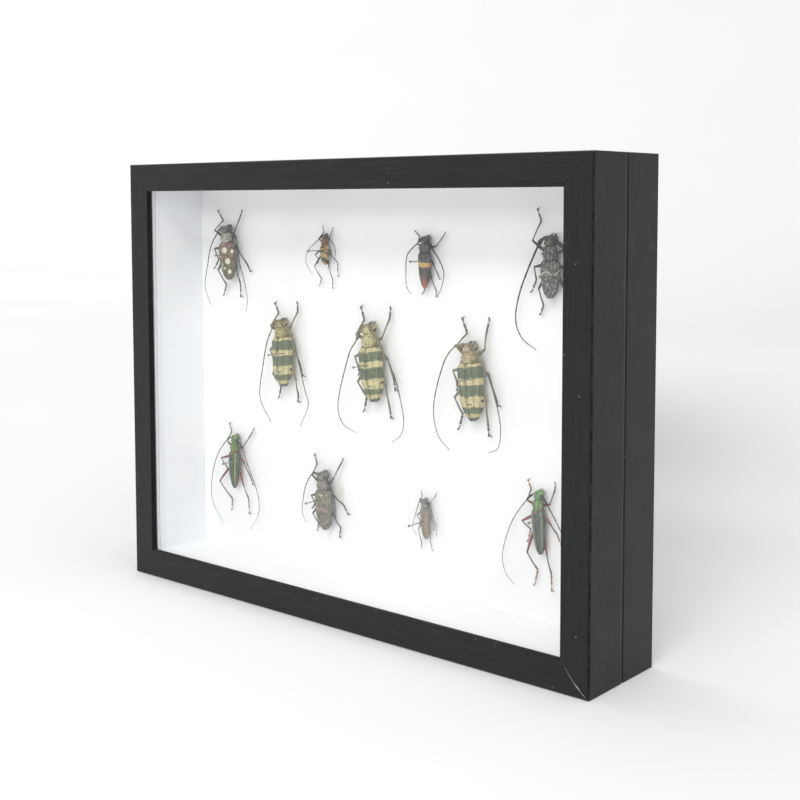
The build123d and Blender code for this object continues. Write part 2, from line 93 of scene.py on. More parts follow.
class Graph:
    """A material, painted layer by layer. Colours are display values from 0 to 255."""

    def __init__(self, name, shade=None):
        self.material = bpy.data.materials.new(name)
        self.material.use_nodes = True
        self.tree = self.material.node_tree
        self.place = self.node("TexCoord", {}, "Object")
        self.shade = shade

    def put(self, socket, value):
        """Links a value to an input, or sets the input to a number or linear colour."""
        if isinstance(value, Value):
            self.tree.links.new(value.socket, socket)
        else:
            socket.default_value = value

    def node(self, kind, inputs, output=0, **settings):
        """Makes a node, fills its inputs and returns one of its outputs."""
        made = self.tree.nodes.new("ShaderNode" + kind)
        for key, value in settings.items():
            setattr(made, key, value)
        for key, value in inputs.items():
            self.put(made.inputs[key], value)
        return Value(self, made.outputs[output])

    def math(self, operation, *values):
        return self.node("Math", dict(enumerate(values)), operation=operation)

    def mix(self, share, first, second):
        """The first colour, covered by the second where the share is 1."""
        inputs = {0: share}
        for key, colour in ((6, first), (7, second)):
            inputs[key] = colour if isinstance(colour, Value) else (*map(linear, colour), 1.0)
        return self.node("Mix", inputs, 2, data_type="RGBA", clamp_factor=True)

    def paint(self, share, colour):
        """Covers the shade by a colour where the share is 1."""
        self.shade = self.mix(share, self.shade, colour)

    def split(self, vector):
        return [self.node("SeparateXYZ", {0: vector}, axis) for axis in "XYZ"]

    def joined(self, *axes):
        return self.node("CombineXYZ", dict(enumerate(axes)))

    def scaled(self, factors):
        """The place on the object, scaled along each axis."""
        return self.node("VectorMath", {0: self.place, 1: factors}, operation="MULTIPLY")

    def noise(self, scale, detail=2.0, roughness=0.5, place=None):
        inputs = {"Vector": place or self.place, "Scale": scale, "Detail": detail, "Roughness": roughness}
        return self.node("TexNoise", inputs)

    def wobble(self, amount, scale, detail=2.0, roughness=0.5):
        """Noise that goes as far below zero as above it."""
        return (self.noise(scale, detail, roughness) - 0.5) * amount

    def cells(self, scale, place=None):
        """The distance from the nearest of many scattered points."""
        return self.node("TexVoronoi", {"Vector": place or self.place, "Scale": scale}, "Distance")

    def bump(self, height, distance, strength, below=None):
        inputs = {"Strength": strength, "Distance": distance, "Height": height}
        if below:
            inputs["Normal"] = below
        return self.node("Bump", inputs)

    def finish(self, roughness, normal=None, **others):
        """Sets the shader's inputs and returns the material."""
        shader = self.tree.nodes["Principled BSDF"]
        self.put(shader.inputs["Base Color"], self.shade)
        self.put(shader.inputs["Roughness"], roughness)
        if normal:
            self.put(shader.inputs["Normal"], normal)
        for name, value in others.items():
            shader.inputs[name.replace("_", " ")].default_value = value
        return self.material


def cloth(name, grain):
    """Black book cloth: a fine weave, streaks along the grain, lint and worn folds, with painted shade in the
    mitres, along the front vertical edges and round the border's inner edge.
    """
    graph = Graph(name, (7, 9, 10))
    thread = 0.42 * MM
    x, y, z = graph.split(graph.place)
    wave_x, wave_y, wave_z = (graph.math("SINE", axis * (2 * math.pi / thread)) for axis in (x, y, z))
    weave = wave_x * wave_z + wave_y * (wave_x + wave_z)
    streaks = graph.noise(1.0, 3.0, 0.6, graph.scaled(grain))
    broad = graph.noise(38.0, 3.0, 0.55)
    fine = graph.noise(2600.0, 2.0, 0.6)
    graph.paint(streaks.step(0.4, 0.66), (29, 33, 34))
    graph.paint(broad.step(0.4, 0.75), (21, 25, 26))
    graph.paint(weave.step(0.4, 1.3) * 0.35, (48, 52, 53))

    # Distances from the case's sides, from its long edges and behind its front
    across = CASE_WIDTH / 2 * MM - abs(x)
    upward = CASE_HEIGHT / 2 * MM - abs(z - CASE_HEIGHT / 2 * MM)
    behind = y + CASE_DEPTH / 2 * MM
    edge = graph.math("MINIMUM", across, upward)
    front = behind.step(0.0014, 0.0008)
    # Painted shade: the mitre creases and the rounded front vertical edges are darkened, in patches
    mitre_crease_shade = abs(across - upward).step(0.0007, 0.0002) * behind.step(0.0008, 0.0004)
    corner = across.step(0.0008, 0.0003) * front
    patchy = graph.noise(90.0, 3.0, 0.7).step(0.38, 0.6) * 0.6 + 0.4
    dark = graph.math("MAXIMUM", mitre_crease_shade * 0.7, corner) * patchy
    graph.paint(dark * 0.9, (3, 3, 4))
    # Painted shade along the inner edge of the border, where the cover turns into the opening
    inner_edge_shade = abs(edge - BORDER_WIDTH * MM).step(0.0004, 0.0001) * behind.step(0.009, 0.007)
    graph.paint(inner_edge_shade * 0.8, (3, 3, 5))

    fold = upward.step(0.0007, 0.0002) * front
    lip = abs(y - COVER_LIP * MM).step(0.0006, 0.0002) * edge.step(0.0012, 0.0004)
    worn = graph.math("MAXIMUM", fold, lip) * (weave + fine).step(0.5, 1.2)
    graph.paint(worn * 0.6, (126, 130, 126))
    lint = graph.cells(210.0).step(0.10, 0.03) * graph.noise(150.0, 1.0).step(0.58, 0.62)
    graph.paint(lint * 0.6, (150, 155, 152))
    dust = graph.cells(620.0).step(0.22, 0.10) * graph.noise(45.0, 3.0, 0.7).step(0.5, 0.62)
    graph.paint(dust * 0.5, (96, 102, 100))

    normal = graph.bump(weave * 0.5 + fine * 0.9, 0.00008, 0.8)
    normal = graph.bump(streaks, 0.00008, 0.6, normal)
    normal = graph.bump(dark, -0.0006, 0.8, normal)
    rough = graph.math("MAXIMUM", broad * 0.26 + 0.42, graph.math("MAXIMUM", dark, inner_edge_shade))
    return graph.finish(rough, normal, Specular_IOR_Level=0.22, Sheen_Weight=0.08, Sheen_Roughness=0.5)


def paper(name, colour, tint):
    """White paper with a faint unevenness, and its surface."""
    graph = Graph(name, colour)
    broad = graph.noise(22.0, 3.0, 0.55)
    graph.paint(broad.step(0.35, 0.7), tint)
    fibre = graph.noise(1900.0, 3.0, 0.6)
    return graph, graph.bump(fibre, 0.00003, 0.4, graph.bump(broad, 0.0006, 0.25))


def lining(name, colour, tint):
    """The smooth paper inside the walls."""
    graph, normal = paper(name, colour, tint)
    return graph.finish(0.62, normal)


def facing():
    """The paper that the beetles are pinned through, with a faint stain beside the grey-brown beetle."""
    graph, normal = paper("facing_white", (246, 246, 246), (242, 242, 242))
    x, _, z = graph.split(graph.place)
    stain = ((x + 0.0293) * 260.0) ** 2.0 + ((z - 0.0548) * 130.0) ** 2.0
    stain = stain + graph.noise(320.0) * 0.8
    graph.paint(stain.step(1.7, 0.3) * 0.55, (212, 208, 180))
    return graph.finish(0.8, normal)


def foam():
    graph = Graph("foam_white", (222, 222, 220))
    pores = graph.cells(900.0)
    graph.paint(pores.step(0.1, 0.6), (246, 246, 245))
    return graph.finish(0.9, graph.bump(pores, 0.0003, 0.7))


def wood(name, pale, dark, grain):
    graph = Graph(name, pale)
    rings = graph.noise(1.0, 4.0, 0.6, graph.scaled(grain))
    graph.paint(rings.step(0.3, 0.7), dark)
    fibre = graph.noise(6.0, 2.0, 0.7, graph.scaled(grain))
    return graph.finish(0.7, graph.bump(fibre, 0.00008, 0.6))


def glass():
    """A clear pane: it lets light straight through and reflects more at a slant."""
    graph = Graph("glass_clear")
    clear = graph.node("BsdfTransparent", {0: (0.985, 0.987, 0.985, 1.0)})
    gloss = graph.node("BsdfGlossy", {0: (1.0, 1.0, 1.0, 1.0), 1: 0.015})
    slant = graph.node("LayerWeight", {0: 0.5}, "Facing")
    both = graph.node("MixShader", {0: slant ** 5.0 * 0.96 + 0.04, 1: clear, 2: gloss})
    graph.put(graph.tree.nodes["Material Output"].inputs["Surface"], both)
    return graph.material


def metal(name, colour, roughness, scratch):
    graph = Graph(name, colour)
    marks = graph.noise(1.0, 2.0, 0.6, graph.scaled(scratch))
    graph.paint(marks.step(0.35, 0.7), (150, 150, 152))
    return graph.finish(roughness, graph.bump(marks, 0.00001, 0.4), Metallic=1.0)


def black_paper():
    """Back lining: black card paper with a fine fibre and a few scuffs."""
    graph = Graph("paper_black", (26, 27, 28))
    broad = graph.noise(16.0, 4.0, 0.6)
    graph.paint(broad.step(0.35, 0.7), (36, 37, 38))
    scuff = graph.noise(1.0, 3.0, 0.7, graph.scaled((14.0, 14.0, 120.0)))
    graph.paint(scuff.step(0.66, 0.74) * 0.35, (70, 70, 68))
    fibre = graph.noise(1500.0, 4.0, 0.65)
    normal = graph.bump(fibre, 0.00005, 0.6, graph.bump(broad, 0.0008, 0.2))
    return graph.finish(0.72, normal, Specular_IOR_Level=0.35)


def nylon():
    graph = Graph("pin_head_nylon", (112, 108, 100))
    swirl = graph.noise(1400.0)
    graph.paint(swirl.step(0.35, 0.7), (140, 135, 122))
    return graph.finish(0.32, graph.bump(swirl, 0.00002, 0.3))


def placed(name, data):
    """A new object in the scene."""
    made = bpy.data.objects.new(name, data)
    bpy.context.scene.collection.objects.link(made)
    return made


def dress(material, *names):
    """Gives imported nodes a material."""
    for name in names:
        for slot in nodes[name].material_slots:
            slot.material = material


def dress_case():
    upright_cloth = cloth("cloth_upright", (2400.0, 900.0, 60.0))
    level_cloth = cloth("cloth_level", (60.0, 1200.0, 2400.0))
    nails = metal("nail_metal", (120, 120, 122), 0.4, (200, 3000, 200))
    pale, dark = (205, 176, 132), (170, 136, 92)
    for half in ("lid", "base"):
        dress(nails, f"{half}_corner_nails")
        dress(upright_cloth, f"{half}_cover_left", f"{half}_cover_right")
        dress(level_cloth, f"{half}_cover_bottom", f"{half}_cover_top")
        name = f"{half}_moulding"
        dress(wood(name + "_upright", pale, dark, (700, 700, 30)), name + "_left", name + "_right")
        dress(wood(name + "_level", pale, dark, (30, 700, 700)), name + "_bottom", name + "_top")
    board = wood("collar_board", (214, 200, 176), (190, 172, 142), (40, 900, 40))
    white_lining = lining("lining_white", (243, 244, 247), (238, 240, 244))
    for side in SIDES:
        dress(board, f"collar_{side}")
        dress(white_lining, f"collar_lining_{side}", f"glazing_strip_{side}")
    # Painted light: the bottom wall gets a brighter copy of the white lining, because it faces up to the
    # lamps
    dress(lining("lining_painted_light", (253, 253, 254), (250, 251, 253)), "collar_lining_bottom")
    dress(facing(), "foam_facing")
    dress(foam(), "foam_sheet")
    dress(glass(), "glass_pane")
    dress(wood("back_hardboard", (140, 104, 70), (108, 78, 52), (400, 400, 400)), "back_board")
    dress(black_paper(), "back_paper")
    dress(metal("pin_metal", (150, 148, 145), 0.36, (4000, 100, 4000)), "insect_pins")
    dress(nylon(), "pin_heads")


def frayed_mitre():
    """Pale torn fibres of the cover along the front mitre at the lower right."""
    chance = random.Random(4)
    proud, thick = 0.08, 0.25
    first_share, span_share, steps = 0.20, 0.72, 64
    tear_share, tear_span = 0.36, 0.52
    bow_depth, wander = 0.55, 0.06
    thin_half, torn_half, most_torn = 0.04, 0.02, 0.24
    front = -CASE_DEPTH / 2 - proud
    start, end = Vector((CASE_WIDTH / 2 - BORDER_WIDTH, BORDER_WIDTH)), Vector((CASE_WIDTH / 2, 0.0))
    line, side = end - start, Vector((1.0, 1.0)).normalized()
    points, faces = [], []
    for step in range(steps + 1):
        share = first_share + span_share * step / steps
        bow = -bow_depth * math.sin(math.pi * (share - 0.1)) ** 2
        middle = start + line * share + side * (bow + chance.uniform(-wander, wander))
        torn = math.sin(math.pi * min(1.0, max(0.0, (share - tear_share) / tear_span)))
        half = thin_half + (torn_half + most_torn * chance.random() ** 3) * torn
        for hand in (-1, 1):
            corner = middle + side * (half * hand)
            points.append((corner.x, front, corner.y))
            points.append((corner.x, front + thick, corner.y))
    for step in range(steps):
        low, high = step * 4, step * 4 + 4
        for first, second in ((0, 2), (2, 3), (3, 1), (1, 0)):
            faces.append((low + first, low + second, high + second, high + first))
    mesh = bpy.data.meshes.new("cover_fray")
    mesh.from_pydata([Vector(point) * MM for point in points], [], faces)
    mesh.update()
    graph = Graph("cover_fray", (84, 88, 86))
    fibre = graph.noise(2400.0, 3.0, 0.7)
    graph.paint(fibre.step(0.44, 0.56), (232, 234, 230))
    mesh.materials.append(graph.finish(0.9, graph.bump(fibre, 0.0001, 0.8)))
    made = placed("cover_fray", mesh)
    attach(made, "lid")


# Places are in millimetres across and up from the pin, as in the CAD model. A leg is knee, ankle and
# claw; an antenna is the points that it passes through after its root.
BEETLES = [
    dict(
        name="white_spotted_beetle", pin=(-105.5, 65), height=7,
        widths=(7.8, 7.1, 11.6), front=(-5, 16), neck=(-4.5, 6.5), tail=(-2.5, -14),
        fore=(((-15.5, 13.5), (-9.5, 19), (-14.5, 24)), ((0, 11), (3.5, 19.5), (5, 24))),
        middle=(((-16, 3), (-13.5, -3), (-18, -8)), ((2.5, 4), (10, -5.5), (11, -8.5))),
        hind=(((-13, -9), (-7.5, -17), (-10.5, -23)), ((2, -7.5), (4, -16), (3.5, -23))),
        antennae=(
            ((-11.5, 13), (-18.5, 4.5), (-22, -8), (-24, -19), (-19, -29.5)),
            ((3, 9), (4.5, -3), (8, -12.5), (11, -23.5), (10, -31)),
        ),
    ),
    dict(
        name="wasp_banded_beetle", pin=(-36, 69), height=4,
        widths=(3.9, 4.3, 5.5), front=(0, 8.5), neck=(0, 2.5), tail=(0.5, -7.5),
        fore=(((-5, 6), (-1.5, 9.5), (-3, 12.5)), ((3, 6.5), (3.5, 8.5), (4.5, 11.5))),
        middle=(((-7.5, -2.5), (-5.5, -4.5), (-6.5, -7)), ((4, -2.5), (8, -6), (8, -13.5))),
        hind=(((-8, -8.5), (-3.5, -15), (-5.5, -19)), ((2.5, -9), (4.5, -15), (4, -19.5))),
        antennae=(
            ((-4, 6), (-11, 1), (-14, -3.5), (-13.5, -8), (-9.5, -13)),
            ((3.5, 6), (7, 1), (7, -3), (6, -7)),
        ),
    ),
    dict(
        name="orange_banded_beetle", pin=(33.5, 65.5), height=5.2,
        widths=(4.7, 6.9, 7.4), front=(-0.5, 12), neck=(-1.5, 4), tail=(-1.5, -13.5),
        fore=(((-6.5, 8), (-6, 12), (-9, 14)), ((5.5, 7.5), (7.5, 10.5), (9.5, 13.5))),
        middle=(((-5.5, 1), (-5, -4), (-5.5, -8)), ((3.5, -2), (5.5, -6.5), (6, -8.5))),
        hind=(((-4.5, -8), (-2.5, -14), (-4.5, -16.5)), ((2, -8.5), (4.5, -14.5), (4, -17))),
        antennae=(
            ((-5.5, 9), (-13, 2.5), (-14, -6.5), (-13.5, -13), (-11, -16.5)),
            ((3.5, 5.5), (7.5, 0), (10, -6), (8.5, -13), (5.5, -17.5)),
        ),
    ),
    dict(
        name="white_veined_beetle", pin=(109.5, 61), height=7.2,
        widths=(6.5, 7.7, 9.8), front=(-3.5, 18), neck=(-3.5, 6.5), tail=(-3.5, -10.5),
        fore=(((-14, 15.5), (-10, 24.5), (-12.5, 29.5)), ((5.5, 13), (3.5, 22.5), (6, 27.5))),
        middle=(((-13, 3.5), (-12.5, -2.5), (-15.5, -8)), ((6, 2.5), (8, -4), (9.5, -9))),
        hind=(((-10.5, -6.5), (-8.5, -14), (-10.5, -18)), ((4, -7), (3.5, -14.5), (5, -19))),
        antennae=(
            ((-10.5, 13), (-20, -6.5), (-23, -20.5), (-19.5, -29.5), (-11.5, -34.5)),
            ((3, 12.5), (7.5, 3), (10.5, -8), (11.5, -18.5), (9, -26.5)),
        ),
    ),
    dict(
        name="green_banded_beetle_left", pin=(-61, 13.5), height=8.4,
        widths=(8.3, 7.9, 13.4), front=(-6, 17.5), neck=(-5, 8), tail=(-4, -18.5),
        fore=(((-15, 13.5), (-10, 20.5), (-13.5, 25.5)), ((0.5, 14), (4.5, 22), (3.5, 26.5))),
        middle=(((-15.5, 0.5), (-14, -5), (-14, -9)), ((4, 1), (6, -6), (7, -12))),
        hind=(((-13.5, -13), (-8.5, -19), (-11, -25.5)), ((4, -14.5), (4.5, -22.5), (3.5, -26))),
        antennae=(
            ((-13, 12), (-17.5, 4.5), (-21, -9), (-23.5, -26.5), (-15, -39.5)),
            ((3, 8), (6, -3), (11, -19), (13.5, -27.5), (7.5, -39)),
        ),
    ),
    dict(
        name="green_banded_beetle_middle", pin=(0, 12), height=8.8,
        widths=(8.7, 8.1, 14.2), front=(-3.5, 20.5), neck=(-2.5, 8.5), tail=(0.5, -19),
        fore=(((-13, 14.5), (-8.5, 22), (-11.5, 28)), ((4.5, 13.5), (8.5, 23.5), (8.5, 28.5))),
        middle=(((-14, 3), (-12.5, -2.5), (-13, -6)), ((8.5, 3), (11, -6), (11.5, -12))),
        hind=(((-12, -10), (-7, -17.5), (-9.5, -25)), ((7, -10), (8.5, -21.5), (8.5, -26.5))),
        antennae=(
            ((-12, 11.5), (-18, 3), (-25.5, -21.5), (-22.5, -32.5), (-13.5, -36.5)),
            ((6, 7.5), (13.5, -6), (19, -25), (17.5, -34), (11.5, -38.5)),
        ),
    ),
    dict(
        name="green_banded_beetle_right", pin=(66.5, 11), height=8.8,
        widths=(8.7, 8.1, 13.8), front=(-6, 16), neck=(-5.5, 6.5), tail=(-3, -21),
        fore=(((-14.5, 14), (-9, 20.5), (-12.5, 27)), ((2.5, 13.5), (2.5, 21.5), (3.5, 27.5))),
        middle=(((-16.5, 2), (-15, -3.5), (-15.5, -7)), ((5, 2), (8, -9), (8.5, -12.5))),
        hind=(((-15.5, -11), (-11.5, -19), (-14.5, -26.5)), ((3.5, -10.5), (3.5, -21.5), (3.5, -27.5))),
        antennae=(
            ((-15, 13.5), (-22, 5), (-28, -15), (-26, -29.5), (-18.5, -37)),
            ((3, 5), (8, -6.5), (12, -21.5), (11, -32), (5.5, -35.5)),
        ),
    ),
    dict(
        name="slim_green_beetle", pin=(-103, -51), height=5.2,
        widths=(5.1, 5.9, 8.2), front=(-3, 14), neck=(-3.5, 4.5), tail=(-3.5, -16),
        fore=(((-10, 9.5), (-7.5, 15.5), (-9.5, 19.5)), ((2.5, 7.5), (8, 15), (10, 18.5))),
        middle=(((-15.5, -0.5), (-11.5, -5.5), (-12.5, -8.5)), ((3.5, -1), (7.5, -8), (9, -12.5))),
        hind=(((-17, -14), (-7.5, -23), (-8.5, -29.5)), ((3, -14), (6, -21), (6, -29.5))),
        antennae=(
            ((-9.5, 11), (-18.5, 1), (-23.5, -13.5), (-23, -26.5), (-14.5, -38)),
            ((3, 7), (6.5, -1.5), (14.5, -17), (15, -28.5), (8.5, -38)),
        ),
    ),
    dict(
        name="grey_brown_beetle", pin=(-37, -63), height=7,
        widths=(7.3, 7.8, 11), front=(0, 14.5), neck=(0.5, 5), tail=(2, -16),
        fore=(((-8.5, 11.5), (-6, 18), (-8.5, 22)), ((7, 12), (10.5, 19), (12, 22))),
        middle=(((-9.5, 0.5), (-7.5, -3.5), (-10, -6.5)), ((8, 2), (13, -1.5), (15.5, -6))),
        hind=(((-8.5, -9), (-5, -14), (-6.5, -18)), ((7.5, -9), (11, -14), (9.5, -19))),
        antennae=(
            ((-7.5, 13), (-13, 6), (-15.5, -3), (-16, -10), (-13, -14.5)),
            ((4.5, 8), (7, 2.5), (8.5, -5), (9, -11.5)),
        ),
    ),
    dict(
        name="small_brown_beetle", pin=(32, -64), height=4,
        widths=(3.8, 4.2, 5.4), front=(-0.5, 11), neck=(-0.5, 6.5), tail=(0.5, -9),
        fore=(((-4, 9), (-3, 12), (-4, 14)), ((3, 10), (5, 12.5), (5.5, 14.5))),
        middle=(((-6, 2), (-4.5, -0.5), (-5, -2.5)), ((3, 2), (4.5, -1.5), (4, -4))),
        hind=(((-5, -5), (-3.5, -11.5), (-4, -14.5)), ((2.5, -6), (2.5, -11), (3, -14.5))),
        antennae=(
            ((-3.5, 10.5), (-5.5, 6), (-8.5, -3), (-8, -6), (-6, -8)),
            ((3, 7.5), (4.5, 2.5), (6.5, -1.5), (6.5, -7)),
        ),
    ),
    dict(
        name="striped_green_beetle", pin=(102, -51.5), height=5,
        widths=(4.9, 5.9, 7.4), front=(-2, 12.5), neck=(-2.5, 3.5), tail=(-1, -17),
        fore=(((-9, 7), (-7.5, 12.5), (-9.5, 16)), ((3.5, 7), (5.5, 13.5), (5.5, 16.5))),
        middle=(((-12, -3), (-7.5, -6.5), (-9.5, -12.5)), ((4, -2.5), (7, -6.5), (9, -11.5))),
        hind=(((-9, -17.5), (-3.5, -25), (-5.5, -32.5)), ((2, -17), (4, -25.5), (4, -33.5))),
        antennae=(
            ((-9, 7.5), (-18, -5), (-23, -20.5), (-21, -29.5), (-16, -34)),
            ((2.5, 6.5), (9, -3.5), (14, -13.5), (15.5, -22.5), (13.5, -30.5)),
        ),
    ),
]

# Where the head ends, as a share of head and back together, and where the legs start: the stretch of
# body, the share along it and the share of its width
NAPE = 0.42
LEG_ROOTS = {"fore": ("thorax", 0.60, 0.22), "middle": ("wings", 0.10, 0.28), "hind": ("wings", 0.34, 0.28)}
SHELL, BACK, LIMB, FEELER, EYE = range(5)
LEG_CODES = {"fore": 0.0, "middle": 0.5, "hind": 1.0}


def curve_value(table, share):
    """Smoothly reads a table of (share, value) pairs."""
    for (low, first), (high, second) in zip(table, table[1:]):
        if share <= high:
            t = max(0.0, min(1.0, (share - low) / (high - low)))
            return first + (second - first) * t * t * (3 - 2 * t)
    return table[-1][1]


def swell(table, count, size):
    """Thicknesses along a piece from a table of shares."""
    return [curve_value(table, step / count) * size for step in range(count + 1)]


def through(points, count):
    """Points evenly spaced on a smooth curve through the given ones."""
    parts = 24
    ends = [2 * points[0] - points[1], *points, 2 * points[-1] - points[-2]]
    line = []
    for index in range(len(points) - 1):
        before, start, end, after = ends[index : index + 4]
        for part in range(parts):
            t = part / parts
            bend = (2 * before - 5 * start + 4 * end - after) * t * t
            twist = (3 * start - before - 3 * end + after) * t ** 3
            line.append(0.5 * (2 * start + (end - before) * t + bend + twist))
    line.append(points[-1].copy())
    lengths = [0.0]
    for start, end in zip(line, line[1:]):
        lengths.append(lengths[-1] + (end - start).length)
    spaced = []
    index = 0
    for step in range(count + 1):
        goal = lengths[-1] * step / count
        while index < len(lengths) - 2 and lengths[index + 1] < goal:
            index += 1
        span = lengths[index + 1] - lengths[index]
        spaced.append(line[index].lerp(line[index + 1], (goal - lengths[index]) / max(span, 1e-9)))
    return spaced


class Mesh:
    """Collects one beetle's surfaces, with their marks and materials, in millimetres."""

    def __init__(self):
        self.points = []
        self.marks = []
        self.faces = []
        self.kinds = []

    def loft(self, rings, marks, kind):
        """Skins closed rings of points and closes both ends."""
        start = len(self.points)
        count = len(rings[0])
        for ring, ring_marks in zip(rings, marks):
            self.points.extend(ring)
            self.marks.extend(ring_marks)
        for row in range(len(rings) - 1):
            for column in range(count):
                after = (column + 1) % count
                low = start + row * count
                high = low + count
                self.faces.append((low + column, low + after, high + after, high + column))
                self.kinds.append(kind)
        for row, turn in ((0, -1), (len(rings) - 1, 1)):
            middle = sum(rings[row], Vector()) / count
            self.points.append(middle)
            self.marks.append(marks[row][0])
            hub = len(self.points) - 1
            low = start + row * count
            for column in range(count):
                after = (column + 1) % count
                pair = (low + column, low + after) if turn > 0 else (low + after, low + column)
                self.faces.append((*pair, hub))
                self.kinds.append(kind)

    def tube(self, path, radii, marks, kind, sides, flat=1.0):
        """A round or flattened tube along a path."""
        turns = [2 * math.pi * step / sides for step in range(sides)]
        rings = []
        side = Vector((0.0, 1.0, 0.0))
        for index, (point, radius) in enumerate(zip(path, radii)):
            along = (path[min(index + 1, len(path) - 1)] - path[max(index - 1, 0)]).normalized()
            side = (side - along * side.dot(along)).normalized()
            across = along.cross(side)
            rings.append([
                point + across * (math.cos(turn) * radius) + side * (math.sin(turn) * radius * flat)
                for turn in turns
            ])
        self.loft(rings, [[mark] * sides for mark in marks], kind)

    def ball(self, centre, axes, mark, kind, sides):
        """An ellipsoid from three half axes."""
        first, second, third = axes
        rows, rings = 6, []
        for row in range(rows):
            tilt = math.pi * (row + 0.5) / rows
            middle = centre + first * math.cos(tilt)
            rings.append([
                middle + (second * math.cos(turn) + third * math.sin(turn)) * math.sin(tilt)
                for turn in (2 * math.pi * step / sides for step in range(sides))
            ])
        self.loft(rings, [[mark] * sides for _ in range(rows)], kind)


# Widths and heights as shares, along the wing cases, back, head and belly
WING_OUTLINE = [
    (0.0, 0.80), (0.03, 0.93), (0.10, 1.0), (0.30, 1.0), (0.55, 0.955), (0.75, 0.84), (0.88, 0.66),
    (0.96, 0.46), (1.0, 0.30),
]
WING_CROWN = [(0.0, 0.72), (0.08, 0.94), (0.28, 1.0), (0.60, 0.97), (0.85, 0.74), (1.0, 0.40)]
BACK_OUTLINE = [
    (0.0, 0.70), (0.10, 0.84), (0.20, 0.82), (0.35, 0.88), (0.52, 1.0), (0.62, 0.98), (0.82, 0.84),
    (0.92, 0.86), (1.0, 0.74),
]
BACK_CROWN = [(0.0, 0.50), (0.08, 0.70), (0.3, 0.80), (0.7, 0.86), (0.93, 0.80), (1.0, 0.60)]
BACK_BELLY = [(0.0, 0.62), (1.0, 0.80)]
HEAD_OUTLINE = [(0.0, 0.70), (0.12, 0.88), (0.35, 0.94), (0.62, 0.93), (0.85, 0.82), (1.0, 0.70)]
FLARED_HEAD = [(0.0, 0.92), (0.12, 1.06), (0.35, 1.0), (0.62, 0.82), (0.85, 0.70), (1.0, 0.66)]
HEAD_CROWN = [(0.0, 0.44), (0.15, 0.66), (0.45, 0.78), (0.85, 0.74), (1.0, 0.54)]
HEAD_CHIN = [(0.0, 0.60), (0.4, 0.72), (1.0, 0.66)]
BELLY_OUTLINE = [(0.0, 0.78), (0.3, 0.88), (0.75, 0.74), (1.0, 0.22)]
BELLY_TOP = [(0.0, 0.40), (0.5, 0.30), (1.0, 0.05)]
BELLY_BOTTOM = [(0.0, 0.86), (0.3, 0.98), (0.7, 0.72), (1.0, 0.30)]

# Thickness along an eye, a thigh and a shin
EYE_SWELL = [(0, 0.030), (0.3, 0.048), (0.75, 0.085), (1.0, 0.045)]
THIGH_SWELL = [(0, 0.55), (0.55, 1.0), (0.85, 0.72), (1.0, 0.62)]
SHIN_SWELL = [(0, 0.95), (0.12, 0.66), (0.6, 0.78), (1.0, 1.05)]

# An eye's curve round the antenna socket: share of the head, sideways and upwards
EYE_CURVE = ((0.58, 0.27, 0.54), (0.78, 0.37, 0.42), (0.76, 0.435, 0.08), (0.48, 0.45, -0.24))

# What sets each beetle apart. Tip is how wide its wing cases end, split how far they part there, and
# taper how much they narrow. Spine, ripple, thigh and feeler are sizes of spines, wrinkles and limbs.
STYLES = {
    "white_spotted_beetle": dict(tip=0.10, spine=0.9, ripple=0.8, taper=0.12),
    "wasp_banded_beetle": dict(tip=0.55, spine=0.0, ripple=0.3, thigh=1.25, taper=0.10),
    "orange_banded_beetle": dict(tip=0.45, spine=0.8, ripple=0.4, thigh=1.1, feeler=1.25, taper=0.38),
    "white_veined_beetle": dict(
        tip=0.40, spine=1.8, ripple=1.4, split=1.0, feeler=1.6, taper=0.15, thigh=1.15,
    ),
    "green_banded_beetle_left": dict(tip=0.5, spine=1.2, ripple=1.5),
    "green_banded_beetle_middle": dict(tip=0.6, spine=1.2, ripple=1.5),
    "green_banded_beetle_right": dict(tip=0.35, spine=1.6, ripple=1.5, split=0.6),
    "slim_green_beetle": dict(tip=0.12, spine=0.9, ripple=0.6, taper=0.30, flared=True, thigh=1.25),
    "grey_brown_beetle": dict(tip=0.35, spine=0.5, ripple=1.0),
    "small_brown_beetle": dict(tip=0.35, spine=0.3, ripple=0.5, taper=0.08),
    "striped_green_beetle": dict(
        tip=0.5, spine=1.0, ripple=0.7, split=1.0, taper=0.16, flared=True, thigh=1.4,
    ),
}


